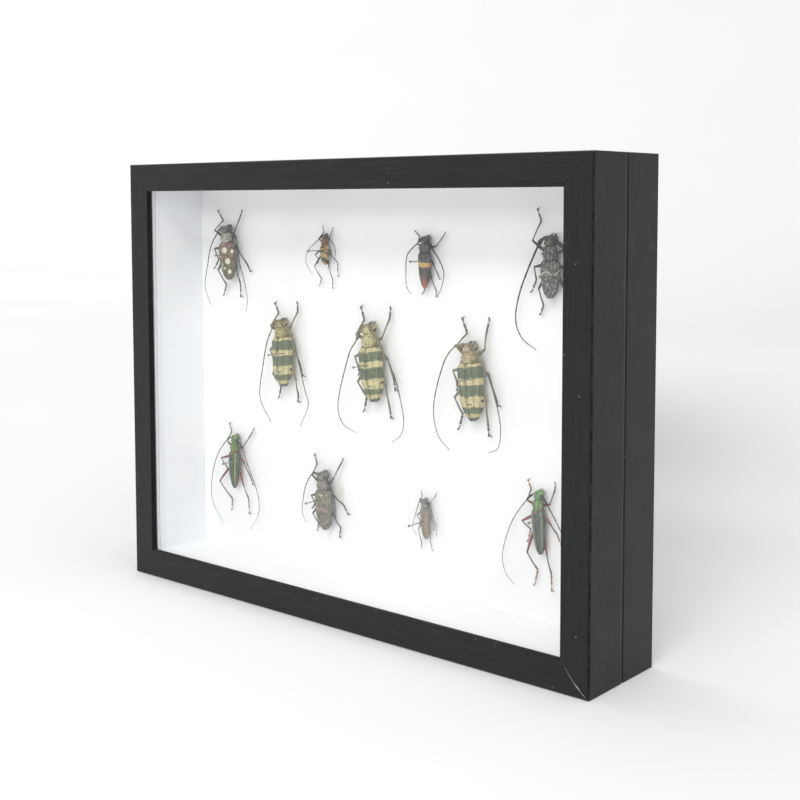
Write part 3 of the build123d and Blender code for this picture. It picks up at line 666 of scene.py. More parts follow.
class Specimen:
    """Builds one beetle's mesh. Marks are its places across and along, and the kind of part."""

    def __init__(self, data):
        self.data = data
        self.style = STYLES[data["name"]]
        self.half = data["height"] / 2
        self.head_width, self.thorax_width, self.width = data["widths"]
        self.front, self.neck, self.tail = (Vector(data[key]) for key in ("front", "neck", "tail"))
        self.nape = self.front + (self.neck - self.front) * NAPE
        self.along = (self.tail - self.front).normalized()
        self.across = Vector((-self.along.y, self.along.x))
        self.stretches = {
            "head": (self.front, self.nape, self.head_width),
            "thorax": (self.nape, self.neck, self.thorax_width),
            "wings": (self.neck, self.tail, self.width),
        }
        self.mesh = Mesh()

    def place(self, flat, above):
        """A point in the case from its place and its height above the body's middle plane."""
        depth = BEETLE_BACK - self.half - above
        pin = self.data["pin"]
        return Vector((pin[0] + flat[0], depth - CASE_DEPTH / 2, CASE_HEIGHT / 2 + pin[1] + flat[1]))

    def stretch(self, name, share, side=0.0):
        """A flat place on a stretch of the body, side being a share of its width."""
        start, end, wide = self.stretches[name]
        return start + (end - start) * share + self.across * (side * wide)

    def on(self, name, share, side, above):
        """A point on a stretch of the body, above being a share of half its height."""
        return self.place(self.stretch(name, share, side), above * self.half)

    def bend(self, flat, above):
        """A point where a limb bends."""
        return self.place(Vector(flat), above * self.half)

    def wing_case(self, hand):
        """One wing case: a crowned shell with its edge folded under, thin at the suture."""
        rows, columns = 44, 14
        suture, tip_start, split_start = 0.05, 0.86, 0.8
        groove, groove_width, rib = 0.10, 0.30, 0.022 * self.half
        tip, split, taper = self.style["tip"], self.style.get("split", 0.0), self.style.get("taper", 0.0)
        rings, marks = [], []
        for row in range(rows + 1):
            share = row / rows
            centre = self.neck + (self.tail - self.neck) * share
            half = curve_value(WING_OUTLINE, share) * self.width / 2 * (1 - taper * share ** 1.5)
            if share > tip_start:
                rounding = math.sqrt(max(0.0, 1 - ((share - tip_start) / (1 - tip_start)) ** 2))
                half *= tip + (1 - tip) * (0.35 + 0.65 * rounding)
            top = curve_value(WING_CROWN, share) * self.half
            rim = -0.22 * self.half
            parted = max(0.0, (share - split_start) / (1 - split_start)) ** 1.5
            gap = min(suture + split * 0.10 * self.half * parted, half * 0.6)
            ring, ring_marks = [], []
            for column in range(columns + 1):
                turn = column / columns * math.pi / 2
                u = gap + (half - gap) * math.sin(turn) ** 0.88
                w = rim + (top - rim) * math.cos(turn) ** 0.72
                w -= groove * math.exp(-((u - gap) / groove_width) ** 2)
                w += rib * math.cos(turn * 9.0) * math.sin(turn * 2)
                ring.append(self.place(centre + self.across * (hand * u), w))
                ring_marks.append((hand * column / columns, share, 0.0))
            for share_out, lift in ((0.90, -0.06), (0.55, 0.02), (0.0, 0.20)):
                u = gap + (half - gap) * share_out
                ring.append(self.place(centre + self.across * (hand * u), rim + lift * self.half))
                ring_marks.append((hand * 1.2, share, 0.0))
            rings.append(ring if hand > 0 else ring[::-1])
            marks.append(ring_marks if hand > 0 else ring_marks[::-1])
        self.mesh.loft(rings[::-1], marks[::-1], SHELL)

    def trunk(self, stretch, outline, high, low, rows, kind, code, ripple=0.0, span=(0.0, 1.0), sink=0.0):
        """A rounded stretch of body: outline gives its widths, high and low its crown and belly."""
        sides = 28
        rings, marks = [], []
        wide = self.stretches[stretch][2]
        for row in range(rows + 1):
            t = row / rows
            share = span[0] + (span[1] - span[0]) * t
            centre = self.stretch(stretch, share)
            half = curve_value(outline, share) * wide / 2
            up, down = curve_value(high, share) * self.half, curve_value(low, share) * self.half
            wave = 1 + ripple * 0.026 * math.sin(share * 38)
            ring, ring_marks = [], []
            for step in range(sides):
                turn = 2 * math.pi * step / sides
                u = math.copysign(abs(math.sin(turn)) ** 0.9, math.sin(turn)) * half * wave
                w = math.cos(turn)
                w = (up * w ** 0.85 if w > 0 else -down * abs(w) ** 0.9) * wave - sink * self.half * (1 - t)
                ring.append(self.place(centre + self.across * u, w))
                ring_marks.append((math.sin(turn), share, code))
            rings.append(ring[::-1])
            marks.append(ring_marks[::-1])
        self.mesh.loft(rings, marks, kind)

    def spike(self, base, tip, radius, kind, mark):
        """A round point that thins to its tip."""
        path = [base.lerp(tip, t) for t in (0.0, 0.35, 0.7, 1.0)]
        self.mesh.tube(path, [radius, radius * 0.75, radius * 0.4, radius * 0.08], [mark] * 4, kind, 8)

    def head(self):
        """A blunt face, raised antenna sockets with a curved eye behind each, jaws and palps."""
        outline = FLARED_HEAD if self.style.get("flared") else HEAD_OUTLINE
        self.trunk("head", outline, HEAD_CROWN, HEAD_CHIN, 18, BACK, 0.0, sink=0.32)
        mark, steps = (0.0, 0.0, 0.0), 14
        wide = self.head_width
        outward = Vector((self.across.x, 0, self.across.y))
        backward = Vector((self.along.x, 0, self.along.y))
        forward = Vector((0, -1, 0))
        for hand in (-1, 1):
            path = [self.on("head", share, hand * side, above) for share, side, above in EYE_CURVE]
            self.mesh.tube(through(path, steps), swell(EYE_SWELL, steps, wide), [mark] * (steps + 1), EYE, 10)
            socket = self.on("head", 0.26, hand * 0.30, 0.42)
            axes = (forward * self.half * 0.36, outward * wide * 0.15, backward * wide * 0.17)
            self.mesh.ball(socket, axes, mark, BACK, 12)
            jaw = self.on("head", 0.06, hand * 0.17, -0.56)
            point = self.on("head", -0.24, hand * 0.04, -0.88)
            self.spike(jaw, point, wide * 0.095, EYE, mark)
            palp = self.on("head", -0.26, hand * 0.22, -0.92)
            self.spike(jaw, palp, wide * 0.05, LIMB, (0.0, 2.5, 0.0))

    def back(self):
        """The rippled back behind the head, with a spine on each side."""
        spine = self.style["spine"]
        self.trunk("thorax", BACK_OUTLINE, BACK_CROWN, BACK_BELLY, 26, BACK, 1.0, ripple=self.style["ripple"])
        if spine:
            for hand in (-1, 1):
                base = self.on("thorax", 0.56, hand * 0.40, 0.10)
                reach = hand * (0.50 + 0.085 * spine)
                tip = self.on("thorax", 0.50, reach, 0.16)
                self.spike(base, tip, self.thorax_width * 0.10, BACK, (hand, 0.56, 1.0))

    def belly(self):
        """The body under the wing cases."""
        outlines = (BELLY_OUTLINE, BELLY_TOP, BELLY_BOTTOM)
        self.trunk("wings", *outlines, 26, LIMB, 0.0, ripple=0.8, span=(-0.04, 0.95))

    def shield(self):
        """The small triangle between the wing cases."""
        corners = [
            self.on("wings", 0.005, -0.085, 0.74),
            self.on("wings", 0.005, 0.085, 0.74),
            self.on("wings", 0.075, 0.0, 0.97),
        ]
        lift = Vector((0, -0.12, 0))
        ring = [corner + lift for corner in corners]
        low = [corner - lift * 3 for corner in corners]
        mark = (0.0, 0.0, 2.0)
        self.mesh.loft([low, ring], [[mark] * 3, [mark] * 3], BACK)

    def leg(self, pair, hand, bends):
        """Hip, thigh and shin, which bow a little, and the foot."""
        stretch, share, side = LEG_ROOTS[pair]
        code = LEG_CODES[pair]
        root = self.on(stretch, share, side * hand, -0.60)
        knee = self.bend(bends[0], -0.30)
        ankle = self.bend(bends[1], -0.60)
        claw = self.bend(bends[2], -0.80)
        bulk = self.width * self.style.get("thigh", 1.0)
        hip = root.lerp(knee, -0.04)
        wide = bulk * 0.085
        socket = (Vector((0, self.half * 0.34, 0)), Vector((wide, 0, 0)), Vector((0, 0, wide)))
        self.mesh.ball(root, socket, (code, 0.0, 0.0), LIMB, 10)
        bow = Vector((0, -0.05 * (knee - root).length, 0))
        thigh = (0, [hip, root.lerp(knee, 0.5) + bow, knee], THIGH_SWELL, bulk * 0.070, 12, 10)
        shin = (1, [knee, knee.lerp(ankle, 0.5) + bow * 0.5, ankle], SHIN_SWELL, bulk * 0.041, 10, 8)
        for part, points, table, thick, steps, sides in (thigh, shin):
            marks = [(code, part + step / steps, 0) for step in range(steps + 1)]
            self.mesh.tube(through(points, steps), swell(table, steps, thick), marks, LIMB, sides, 0.85)
        self.foot(ankle, claw, bulk, code, hand)

    def foot(self, ankle, claw, bulk, code, hand):
        """Four toes, each widest at its end, then two curled claws, one over the other."""
        line = claw - ankle
        along = line.normalized()
        joints = (0.0, 0.26, 0.46, 0.64, 0.97)
        widths = (1.1, 1.05, 1.25, 0.62)
        for index, (low, high, width) in enumerate(zip(joints, joints[1:], widths)):
            wide = width * bulk * 0.052
            path = [ankle + line * (low + (high - low) * t) for t in (0.0, 0.35, 0.80, 1.0)]
            radii = [wide * 0.38, wide * 0.62, wide, wide * 0.55]
            self.mesh.tube(path, radii, [(code, 2 + index / 4, 0)] * 4, LIMB, 8, 0.6)
        end = ankle + line * 0.94
        side = along.cross(Vector((0, hand, 0))).normalized()
        for layer in (-1, 1):
            over = Vector((0, layer, 0))
            hook = [
                end + side * (layer - 1) * 0.008 * bulk,
                end + (along * 0.055 + over * 0.03 + side * (0.012 * layer + 0.012)) * bulk,
                end + (along * 0.095 + over * 0.045 + side * (0.03 * layer + 0.045)) * bulk,
                end + (along * 0.085 + over * 0.045 + side * (0.04 * layer + 0.085)) * bulk,
            ]
            radii = [bulk * 0.026, bulk * 0.024, bulk * 0.018, bulk * 0.005]
            self.mesh.tube(hook, radii, [(code, 3, 0)] * 4, LIMB, 6)

    def antenna(self, hand, bends):
        """A thick first joint and ten more that swell at their ends."""
        root = self.on("head", 0.24, hand * 0.34, 0.55)
        points = [root] + [self.bend(bend, -0.20) for bend in bends]
        points[1].y -= 0.15 * self.half
        count, joint_count, knot_start = 132, 10, 0.86
        path = through(points, count)
        base = (0.21 + 0.023 * self.width) * self.style.get("feeler", 1.0)
        length = sum((b - a).length for a, b in zip(path, path[1:]))
        first = min(0.30, (points[1] - root).length / length * 0.92)
        joints = [0.0] + [first + (1 - first) * (i / joint_count) for i in range(joint_count + 1)]
        radii, marks = [], []
        for step in range(count + 1):
            share = step / count
            index = max(i for i in range(joint_count + 1) if joints[i] <= share + 1e-9)
            t = (share - joints[index]) / (joints[index + 1] - joints[index])
            slim = 1 - 0.66 * share
            if index == 0:
                radius = base * (0.75 + 0.75 * math.sin(min(1.0, t * 1.05) * math.pi * 0.62))
            else:
                radius = base * slim * (0.66 + 0.12 * t + 0.42 * max(0.0, (t - 0.80) / 0.20) ** 2)
            radii.append(radius)
            marks.append((1.0 if t > knot_start and index else 0.0, share, index / joint_count))
        self.mesh.tube(path, radii, marks, FEELER, 8)

    def build(self, materials):
        """Makes the beetle's object, which takes the place of its plain solid."""
        for hand in (-1, 1):
            self.wing_case(hand)
        self.head()
        self.back()
        self.belly()
        self.shield()
        for pair in LEG_ROOTS:
            for hand, bends in zip((-1, 1), self.data[pair]):
                self.leg(pair, hand, bends)
        for hand, bends in zip((-1, 1), self.data["antennae"]):
            self.antenna(hand, bends)
        mesh = bpy.data.meshes.new(self.data["name"])
        mesh.from_pydata([point * MM for point in self.mesh.points], [], self.mesh.faces)
        attribute = mesh.attributes.new("place", "FLOAT_VECTOR", "POINT")
        attribute.data.foreach_set("vector", [value for mark in self.mesh.marks for value in mark])
        for material in materials:
            mesh.materials.append(material)
        mesh.polygons.foreach_set("material_index", self.mesh.kinds)
        mesh.polygons.foreach_set("use_smooth", [True] * len(mesh.polygons))
        mesh.set_sharp_from_angle(angle=math.radians(60))
        mesh.update()
        made = placed(self.data["name"] + "_detail", mesh)
        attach(made, "base")
        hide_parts(self.data["name"])
        return made


class Chitin(Graph):
    """A beetle's surface, painted by its mesh's marks: across, along and the kind of part."""

    def __init__(self, name, shade):
        super().__init__(name, shade)
        mark = self.node("Attribute", {}, "Vector", attribute_name="place")
        self.across, self.along, self.part = self.split(mark)
        self.side = abs(self.across)

    def vary(self, dark, scale=900.0, share=0.6):
        """Breaks the colour up by a darker one."""
        self.paint(self.noise(scale, 3.0, 0.6).step(0.42, 0.68) * share, dark)

    def grain(self, scale, share=0.5):
        """Adds small dark hollows and paler down."""
        fine = self.noise(1150.0 * scale, 5.0, 0.75, self.scaled((1.0, 1.0, 0.55)))
        self.paint(fine.step(0.49, 0.38) * share, (40, 38, 32))
        self.paint(fine.step(0.54, 0.64) * (share * 0.5), (206, 204, 190))

    def spot(self, centre, size, colour, wobble=0.0):
        """A round or oval spot."""
        across = (self.across - centre[0]) / size[0]
        along = (self.along - centre[1]) / size[1]
        away = (across ** 2.0 + along ** 2.0) ** 0.5 + wobble
        self.paint(away.step(1.08, 0.90), colour)

    def harden(self, roughness, scale=1.0, strength=0.6, **others):
        """Finishes the shell with wrinkles, fine punctures and down."""
        wrinkles = self.noise(1300.0 * scale, 3.0, 0.6, self.scaled((1.0, 1.0, 0.6)))
        height = self.cells(2600.0 * scale).step(0.05, 0.5) + self.noise(5200.0, 2.0, 0.7) * 0.5
        normal = self.bump(height, 0.00006, strength, self.bump(wrinkles, 0.0005, strength))
        return self.finish(roughness, normal, **others)


def limb_material(name, thigh, shin, foot, dark):
    """Legs: colours of the thigh, shin and foot, darker at the joints."""
    limb = Chitin(name, thigh)
    limb.paint(limb.along.step(0.96, 1.02), shin)
    limb.paint(limb.along.step(1.92, 2.0), foot)
    limb.paint(limb.math("PINGPONG", limb.along, 0.5).step(0.07, 0.0) * 0.5, dark)
    limb.vary(dark, 1500.0, 0.45)
    return limb.harden(0.55, 1.4, Specular_IOR_Level=0.35)


def feeler_material(name, base, tip, knot):
    """Antennae: a colour at the base and the tip, and dark knots where the joints meet."""
    feeler = Chitin(name, base)
    feeler.paint(feeler.along.step(0.12, 0.5), tip)
    feeler.paint(feeler.across * 0.75, knot)
    feeler.vary(knot, 1600.0, 0.3)
    return feeler.harden(0.55, 1.6, 0.4, Specular_IOR_Level=0.3)


def eye_material():
    graph = Graph("beetle_eye", (74, 70, 64))
    facets = graph.cells(9000.0)
    graph.paint(facets.step(0.1, 0.6), (46, 44, 42))
    return graph.finish(0.3, graph.bump(facets, 0.00002, 0.5))


def banded_shell(name, shift):
    """Cream wing cases crossed by three blue-green bands with ragged edges."""
    shell = Chitin(name, (207, 196, 147))
    across, side = shell.across, shell.side
    ragged = shell.wobble(0.085, 900.0, 3.0, 0.7)
    level = shell.along + ragged + shell.wobble(0.05, 150.0, 1.0)
    level = level + side.step(0.0, 0.16) * 0.018
    lines = shell.noise(1.0, 2.0, 0.6, shell.joined(across * 9.0, shell.along))
    band = shell.mix(lines.step(0.38, 0.62), (72, 94, 76), (112, 120, 80))
    band = shell.mix(across.step(-0.05, -0.55) * 0.85, band, (52, 80, 92))
    band = shell.mix(side.step(0.72, 1.0) * 0.5, band, (76, 86, 92))
    shell.vary((172, 158, 110), 700.0)
    cream = shell.shade
    for start, end in ((0.10 + shift, 0.268), (0.385, 0.585), (0.770, 0.882)):
        shell.paint(level.step(start - 0.006, start + 0.006), band)
        shell.paint(level.step(end - 0.006, end + 0.006), cream)
    shell.paint(level.step(0.942, 0.962), (82, 88, 76))
    ribs = shell.math("SINE", across * 16.0 + lines * 4.0)
    shell.paint(ribs.step(0.3, 1.0) * 0.38, (62, 68, 50))
    shell.paint(side.step(0.035, 0.0) * 0.75, (86, 88, 70))
    shell.spot((0.10, 0.70), (0.12, 0.012), (90, 86, 66), ragged)
    shell.spot((0.92, 0.65), (0.10, 0.026), (80, 80, 64), ragged)
    shell.grain(1.0, 0.38)
    return shell.harden(0.5, Specular_IOR_Level=0.35)


def banded_back(name, pale, deep):
    """A tan head and back with brown lines, darker at the face, the middle and the rear edge."""
    back = Chitin(name, pale)
    along, part = back.along, back.part
    back.vary(deep, 800.0, 0.8)
    lines = back.math("SINE", along * 44.0 + back.noise(500.0))
    back.paint(lines.step(0.35, 0.95) * 0.65, (116, 102, 72))
    back.paint(along.step(0.50, 0.05) * part.step(0.6, 0.2) * 0.55, (104, 94, 70))
    back.paint(back.side.step(0.05, 0.0) * 0.6, (96, 84, 60))
    back.paint(along.step(0.93, 1.0) * part.step(0.5, 0.9) * 0.6, (104, 94, 72))
    back.grain(1.0, 0.6)
    return back.harden(0.6, 1.0, 0.9, Specular_IOR_Level=0.3)


def plain_back(name, head, back, dark):
    """Head and back of a plain colour each, broken up by a darker one."""
    shell = Chitin(name, head)
    shell.paint(shell.part.step(0.3, 0.7), back)
    shell.vary(dark)
    shell.grain(1.0, 0.7)
    return shell.harden(0.55, 1.0, 0.9, Specular_IOR_Level=0.35)


SPOTS = (
    ((-0.74, 0.17), (0.16, 0.065)), ((0.10, 0.20), (0.19, 0.080)), ((0.74, 0.24), (0.15, 0.06)),
    ((-0.20, 0.37), (0.06, 0.022)), ((0.32, 0.50), (0.22, 0.080)), ((-0.12, 0.575), (0.07, 0.030)),
    ((-0.22, 0.65), (0.08, 0.032)), ((0.02, 0.685), (0.10, 0.036)), ((0.45, 0.785), (0.20, 0.066)),
    ((-0.72, 0.52), (0.12, 0.05)), ((-0.80, 0.76), (0.12, 0.05)), ((-0.45, 0.80), (0.10, 0.04)),
)


def spotted_shell():
    """Brown wing cases with white spots and two reddish clouds."""
    shell = Chitin("spotted_shell", (116, 110, 90))
    wobble = shell.wobble(0.5, 900.0)
    shell.vary((84, 80, 64), 1100.0, 0.7)
    for centre, size in (((0.2, 0.02), (0.9, 0.13)), ((0.2, 0.36), (0.75, 0.07))):
        shell.spot(centre, size, (140, 108, 98), wobble)
    shell.grain(1.2, 0.7)
    for centre, size in SPOTS:
        shell.spot(centre, size, (222, 216, 198), wobble)
    shell.paint(shell.side.step(0.03, 0.0) * 0.6, (70, 66, 54))
    return shell.harden(0.5, Specular_IOR_Level=0.4)


def wasp_shell():
    """Yellow wing cases with slanted black bands, a red spot and a brown tip."""
    shell = Chitin("wasp_shell", (178, 158, 110))
    wobble = shell.wobble(0.10, 900.0)
    shell.vary((142, 120, 82), 1100.0)
    slanted = shell.along - shell.side * 0.22 + wobble
    for low, high in ((0.02, 0.10), (0.22, 0.32), (0.58, 0.78)):
        inside = slanted.step(low - 0.02, low + 0.02) * slanted.step(high + 0.02, high - 0.02)
        shell.paint(inside, (66, 66, 64))
    shell.spot((0.45, 0.20), (0.28, 0.07), (176, 104, 74), wobble)
    shell.paint(shell.along.step(0.9, 1.0) * 0.6, (150, 110, 70))
    shell.grain(1.4)
    return shell.harden(0.45, 1.3, Specular_IOR_Level=0.4)


def orange_shell():
    """Dark wing cases with an orange band and a reddish tip."""
    shell = Chitin("orange_shell", (82, 80, 86))
    level = shell.along + shell.wobble(0.045, 800.0)
    shell.vary((56, 55, 58), 1000.0)
    shell.paint(level.step(0.55, 0.98), (176, 108, 84))
    band = shell.mix(shell.side.step(0.4, 0.9), (206, 174, 108), (204, 150, 100))
    lower = level - shell.math("PINGPONG", shell.across + 0.2, 0.33) * 0.12
    shell.paint(level.step(0.262, 0.282) * lower.step(0.395, 0.375), band)
    shell.grain(1.1)
    return shell.harden(0.5, Specular_IOR_Level=0.35)


def veined_shell():
    """Grey wing cases with white flecks and one white vein across."""
    shell = Chitin("veined_shell", (100, 100, 97))
    along, side = shell.along, shell.side
    shell.vary((60, 60, 58), 1000.0, 0.9)
    shell.grain(1.0, 0.8)
    flecks = shell.cells(950.0, shell.scaled((1.0, 1.0, 0.42)))
    shown = shell.noise(360.0).step(0.42, 0.50) * along.step(-0.2, 0.6)
    shown = shell.math("MAXIMUM", shown, along.step(0.25, 0.0) * 0.8)
    shell.paint(flecks.step(0.36, 0.22) * shown * 0.85, (200, 200, 194))
    vein = abs(along + shell.wobble(0.07, 700.0) + abs(side - 0.42) * 0.26 - 0.385)
    shell.paint(vein.step(0.022, 0.010), (204, 204, 198))
    shell.paint(side.step(0.03, 0.0) * 0.6, (150, 150, 146))
    return shell.harden(0.6, 0.8, 1.0, Specular_IOR_Level=0.3)


def veined_back():
    """A grey head and back with pale flecks and three pale stripes on the back."""
    back = Chitin("veined_back", (88, 88, 84))
    back.vary((66, 66, 64), 900.0, 0.7)
    for centre in (-0.42, 0.18, 0.62):
        stripe = abs(back.across - centre) + back.noise(900.0) * 0.05
        back.paint(stripe.step(0.09, 0.05) * back.part.step(0.5, 0.9) * 0.7, (176, 176, 170))
    back.paint(back.cells(1100.0).step(0.24, 0.14) * 0.6, (180, 180, 174))
    back.grain(0.9, 0.8)
    return back.harden(0.6, 0.8, 1.0, Specular_IOR_Level=0.3)


def striped_shell(name, base, dark, stripes, half, rim):
    """Metallic wing cases with paler stripes along them."""
    shell = Chitin(name, base)
    side = shell.side
    lines = shell.noise(1.0, 3.0, 0.6, shell.joined(shell.across * 14.0, shell.along))
    shell.paint(lines.step(0.35, 0.65), dark)
    for centre, colour in stripes:
        away = abs(shell.across - centre) + shell.noise(500.0) * 0.03
        shell.paint(away.step(half * 1.5, half * 0.5) * shell.along.step(0.97, 0.80) * 0.85, colour)
    shell.paint(side.step(0.80, 0.98) * 0.8, rim)
    shell.paint(side.step(0.04, 0.0) * 0.6, dark)
    shell.grain(1.2, 0.35)
    return shell.harden(0.34, 1.2, Metallic=0.3)


def metallic_back(name, head, back, bright, dark, roughness, metallic):
    """Metallic head and back with bright lines, dark sides and a brown shield."""
    shell = Chitin(name, head)
    shell.paint(shell.part.step(0.3, 0.7), back)
    lines = shell.math("SINE", shell.across * 8.5 + shell.noise(500.0) * 2.0)
    shell.paint(lines.step(0.2, 0.9) * 0.7, bright)
    shell.paint(shell.side.step(0.6, 0.95) * 0.6, dark)
    shell.paint(shell.part.step(1.5, 1.9), (204, 140, 88))
    shell.grain(1.2)
    return shell.harden(roughness, 1.2, 0.8, Metallic=metallic)


def clouded_shell():
    """Grey-brown wing cases with a rosy cloud, a pale spot and two dark waves."""
    shell = Chitin("clouded_shell", (132, 130, 114))
    across = shell.across
    wobble = shell.wobble(0.07, 700.0, 3.0)
    level = shell.along + wobble
    shell.vary((100, 98, 86), 650.0, 0.7)
    shell.vary((122, 112, 104), 1500.0, 0.5)
    cloud = level.step(0.40, 0.42) * level.step(0.51, 0.49) * across.step(0.80, 0.2)
    shell.paint(cloud * 0.85, (172, 140, 140))
    shell.spot((0.08, 0.10), (0.16, 0.045), (206, 190, 160), wobble)
    for edge in (0.62, 0.70):
        wave = abs(level + abs(across - 0.2) * 0.12 - edge)
        shell.paint(wave.step(0.02, 0.008) * 0.6, (88, 82, 76))
    shell.grain(0.9, 0.7)
    return shell.harden(0.62, 0.9, 0.9, Specular_IOR_Level=0.3)


def brown_shell():
    """Grey-brown wing cases, browner towards the tip, with two darker spots."""
    shell = Chitin("brown_shell", (142, 138, 130))
    shell.paint(shell.along.step(0.15, 0.55), (158, 142, 126))
    shell.vary((128, 112, 98), 900.0, 0.5)
    shell.spot((0.2, 0.24), (0.35, 0.06), (150, 128, 106))
    shell.spot((0.0, 0.40), (0.14, 0.028), (120, 98, 84))
    shell.grain(1.2, 0.4)
    return shell.harden(0.55, 1.2, Specular_IOR_Level=0.35)


def looks():
    """Each beetle's materials for shell, back, legs and antennae, and its slot in the record."""
    limbs = {
        name: limb_material(name + "_limb", *colours)
        for name, colours in {
            "khaki": ((136, 130, 98), (124, 119, 93), (74, 74, 67), (62, 62, 54)),
            "grey": ((84, 87, 84), (88, 91, 88), (66, 69, 68), (50, 52, 50)),
            "dark": ((66, 66, 64), (84, 84, 80), (80, 80, 78), (48, 48, 48)),
            "red": ((132, 72, 70), (78, 84, 80), (104, 98, 88), (54, 54, 50)),
            "tan": ((136, 72, 72), (76, 80, 78), (176, 124, 86), (56, 54, 50)),
        }.items()
    }
    feelers = {
        name: feeler_material(name + "_feeler", *colours)
        for name, colours in {
            "khaki": ((126, 121, 92), (66, 68, 68), (38, 40, 40)),
            "grey": ((74, 76, 72), (72, 74, 74), (40, 42, 42)),
            "dark": ((56, 54, 54), (70, 64, 60), (34, 32, 32)),
            "green": ((60, 66, 64), (92, 94, 94), (46, 48, 48)),
        }.items()
    }
    khaki = (limbs["khaki"], feelers["khaki"], "banded_shell")
    grey = (limbs["grey"], feelers["grey"])
    dark = (limbs["dark"], feelers["dark"])
    slim_stripes = ((0.42, (160, 164, 104)), (-0.42, (108, 132, 98)))
    long_stripes = ((0.50, (134, 156, 104)), (-0.30, (120, 148, 104)))
    return {
        "white_spotted_beetle": (
            spotted_shell(), plain_back("spotted_back", (118, 120, 114), (184, 186, 172), (112, 114, 104)),
            *grey, "brown_shell",
        ),
        "wasp_banded_beetle": (
            wasp_shell(), plain_back("wasp_back", (118, 92, 82), (138, 98, 88), (84, 76, 70)),
            limbs["dark"], feelers["grey"], "red_brown_shell",
        ),
        "orange_banded_beetle": (
            orange_shell(), plain_back("orange_back", (88, 85, 85), (92, 88, 88), (62, 60, 60)),
            *dark, "black_shell",
        ),
        "white_veined_beetle": (veined_shell(), veined_back(), *dark, "grey_shell"),
        "green_banded_beetle_left": (
            banded_shell("banded_shell_left", -0.02),
            banded_back("banded_back_left", (188, 178, 122), (142, 132, 84)), *khaki,
        ),
        "green_banded_beetle_middle": (
            banded_shell("banded_shell", 0.0),
            banded_back("banded_back_middle", (214, 208, 156), (164, 156, 106)), *khaki,
        ),
        "green_banded_beetle_right": (
            banded_shell("banded_shell_right", -0.025),
            banded_back("banded_back_right", (202, 186, 150), (152, 136, 104)), *khaki,
        ),
        "slim_green_beetle": (
            striped_shell("slim_shell", (78, 108, 82), (38, 64, 44), slim_stripes, 0.10, (62, 98, 82)),
            metallic_back("slim_back", (78, 122, 98), (92, 128, 60), (150, 164, 80), (46, 76, 54),
                          0.36, 0.25),
            limbs["red"], feelers["green"], "green_shell",
        ),
        "grey_brown_beetle": (
            clouded_shell(), plain_back("clouded_back", (126, 124, 116), (142, 134, 128), (98, 96, 90)),
            *grey, "grey_brown_shell",
        ),
        "small_brown_beetle": (
            brown_shell(), plain_back("brown_back", (134, 134, 130), (150, 150, 146), (108, 108, 104)),
            *grey, "grey_brown_shell",
        ),
        "striped_green_beetle": (
            striped_shell("striped_shell", (88, 94, 94), (60, 66, 66), long_stripes, 0.11, (66, 116, 90)),
            metallic_back("striped_back", (72, 140, 104), (82, 120, 76), (160, 184, 104), (84, 92, 76),
                          0.32, 0.3),
            limbs["tan"], feelers["dark"], "green_shell",
        ),
    }


def beetles():
    """Builds and dresses the eleven beetles."""
    materials = looks()
    eyes = eye_material()
    for data in BEETLES:
        *surfaces, slot = materials[data["name"]]
        beetle = Specimen(data).build([*surfaces, eyes])


def stage_sweep():
    """A pale floor that turns up into a backdrop far behind the case."""
    half_width, near, bend, radius, top, turns = 7.0, -5.0, 1.6, 1.2, 5.0, 16
    profile = [(near, 0.0), (bend, 0.0)]
    for step in range(1, turns + 1):
        turn = math.pi / 2 * step / turns
        profile.append((bend + radius * math.sin(turn), radius - radius * math.cos(turn)))
    profile.append((bend + radius, top))
    points, faces = [], []
    for y, z in profile:
        points.extend([(-half_width, y, z), (half_width, y, z)])
    for row in range(len(profile) - 1):
        faces.append((2 * row, 2 * row + 1, 2 * row + 3, 2 * row + 2))
    mesh = bpy.data.meshes.new("studio_sweep")
    mesh.from_pydata(points, [], faces)
    mesh.polygons.foreach_set("use_smooth", [True] * len(mesh.polygons))
    graph = Graph("studio_white", (243, 243, 243))
    graph.paint(graph.noise(1.2).step(0.3, 0.7), (247, 247, 247))

    # Painted shadow: a long soft dark patch on the floor behind the case, standing in for the shadow that the
    # case throws to the right
    x, y, _ = graph.split(graph.place)
    along = (x * -0.39 + y * 0.92 - 0.45) / 0.36
    across = (x * 0.92 + y * 0.39) / 0.174
    away = along ** 2.0 + across ** 2.0
    graph.paint(graph.math("EXPONENT", away * -1.0) * 0.42, (0, 0, 0))
    mesh.materials.append(graph.finish(0.9))
    made = placed("studio_sweep", mesh)
    made.location.z = -0.0002


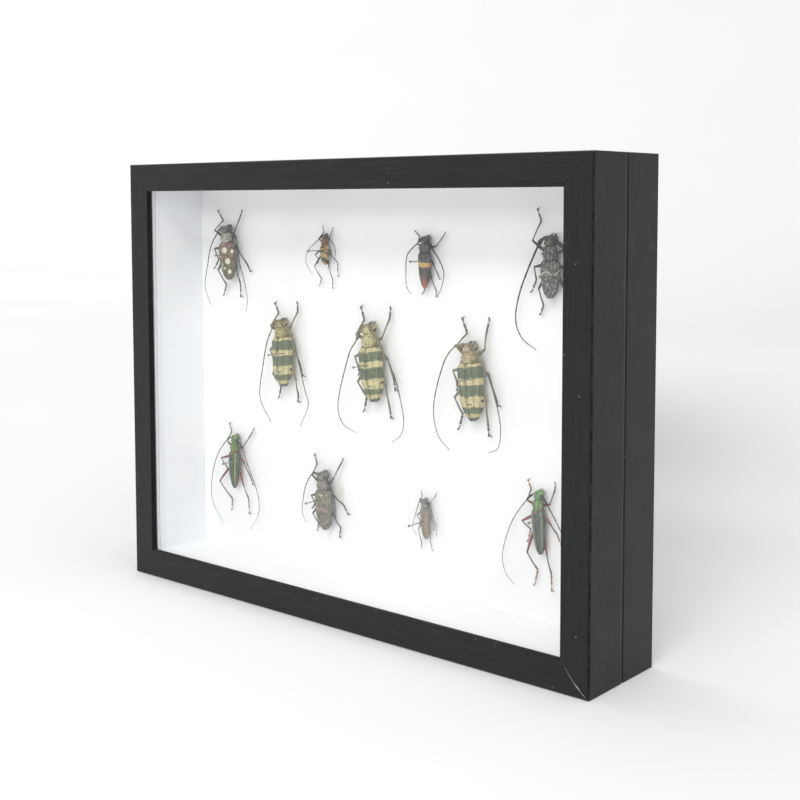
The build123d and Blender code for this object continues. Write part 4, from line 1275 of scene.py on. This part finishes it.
# Each light's place, target, size and power
LIGHTS = {
    "key": ((0.6, -1.75, 1.85), (0.0, 0.0, 0.1), (1.8, 0.4), 23.5),
    "low_front": ((0.9, -2.4, 1.0), (0.0, 0.0, 0.1), (1.2, 0.6), 18.0),
    "side_fill": ((2.6, -0.9, 1.1), (0.0, 0.0, 0.1), (1.8, 1.4), 8.0),
    "backdrop_wash": ((-4.2, 0.7, 2.3), (-4.0, 2.8, 0.6), (4.0, 1.5), 34.0),
    "left_overhead": ((-1.7, 0.3, 1.9), (-0.9, 0.5, 0.0), (2.0, 1.6), 7.0),
}


def studio():
    """White area lights and the pale air round them."""
    for name, (place, target, size, power) in LIGHTS.items():
        light = bpy.data.lights.new(name, "AREA")
        light.shape = "RECTANGLE"
        light.size, light.size_y = size
        light.energy = power
        made = placed(name, light)
        made.location = place
        made.rotation_euler = (Vector(target) - Vector(place)).to_track_quat("-Z", "Y").to_euler()
    world = bpy.data.worlds.new("studio_air")
    world.use_nodes = True
    air = world.node_tree.nodes["Background"]
    air.inputs["Color"].default_value = (1.0, 1.0, 1.0, 1.0)
    air.inputs["Strength"].default_value = 0.63
    bpy.context.scene.world = world


def camera():
    """The photograph's viewpoint, from twelve straight edges of the case."""
    yaw, pitch, roll = (math.radians(angle) for angle in (40.26, 4.31, -0.08))
    place = Vector((429.7, -479.1, 208.7)) * MM
    focal_px, frame_px, middle_y = 1288.0, 800.0, 300.0
    ahead = Vector((-math.sin(yaw) * math.cos(pitch), math.cos(yaw) * math.cos(pitch), -math.sin(pitch)))
    right = Vector((math.cos(yaw), math.sin(yaw), 0.0))
    up = right.cross(ahead)
    level, lift = math.cos(roll), math.sin(roll)
    right, up = level * right + lift * up, level * up - lift * right
    data = bpy.data.cameras.new("photo_camera")
    data.sensor_width = 36.0
    data.lens = focal_px / frame_px * data.sensor_width
    data.shift_y = (middle_y - frame_px / 2) / frame_px
    data.clip_start, data.clip_end = 0.01, 50.0
    made = placed("photo_camera", data)
    made.matrix_world = Matrix.Translation(place) @ Matrix((right, up, -ahead)).transposed().to_4x4()
    bpy.context.scene.camera = made


dress_case()
beetles()
frayed_mitre()
stage_sweep()
studio()
camera()
bpy.context.scene.view_settings.view_transform = "Standard"
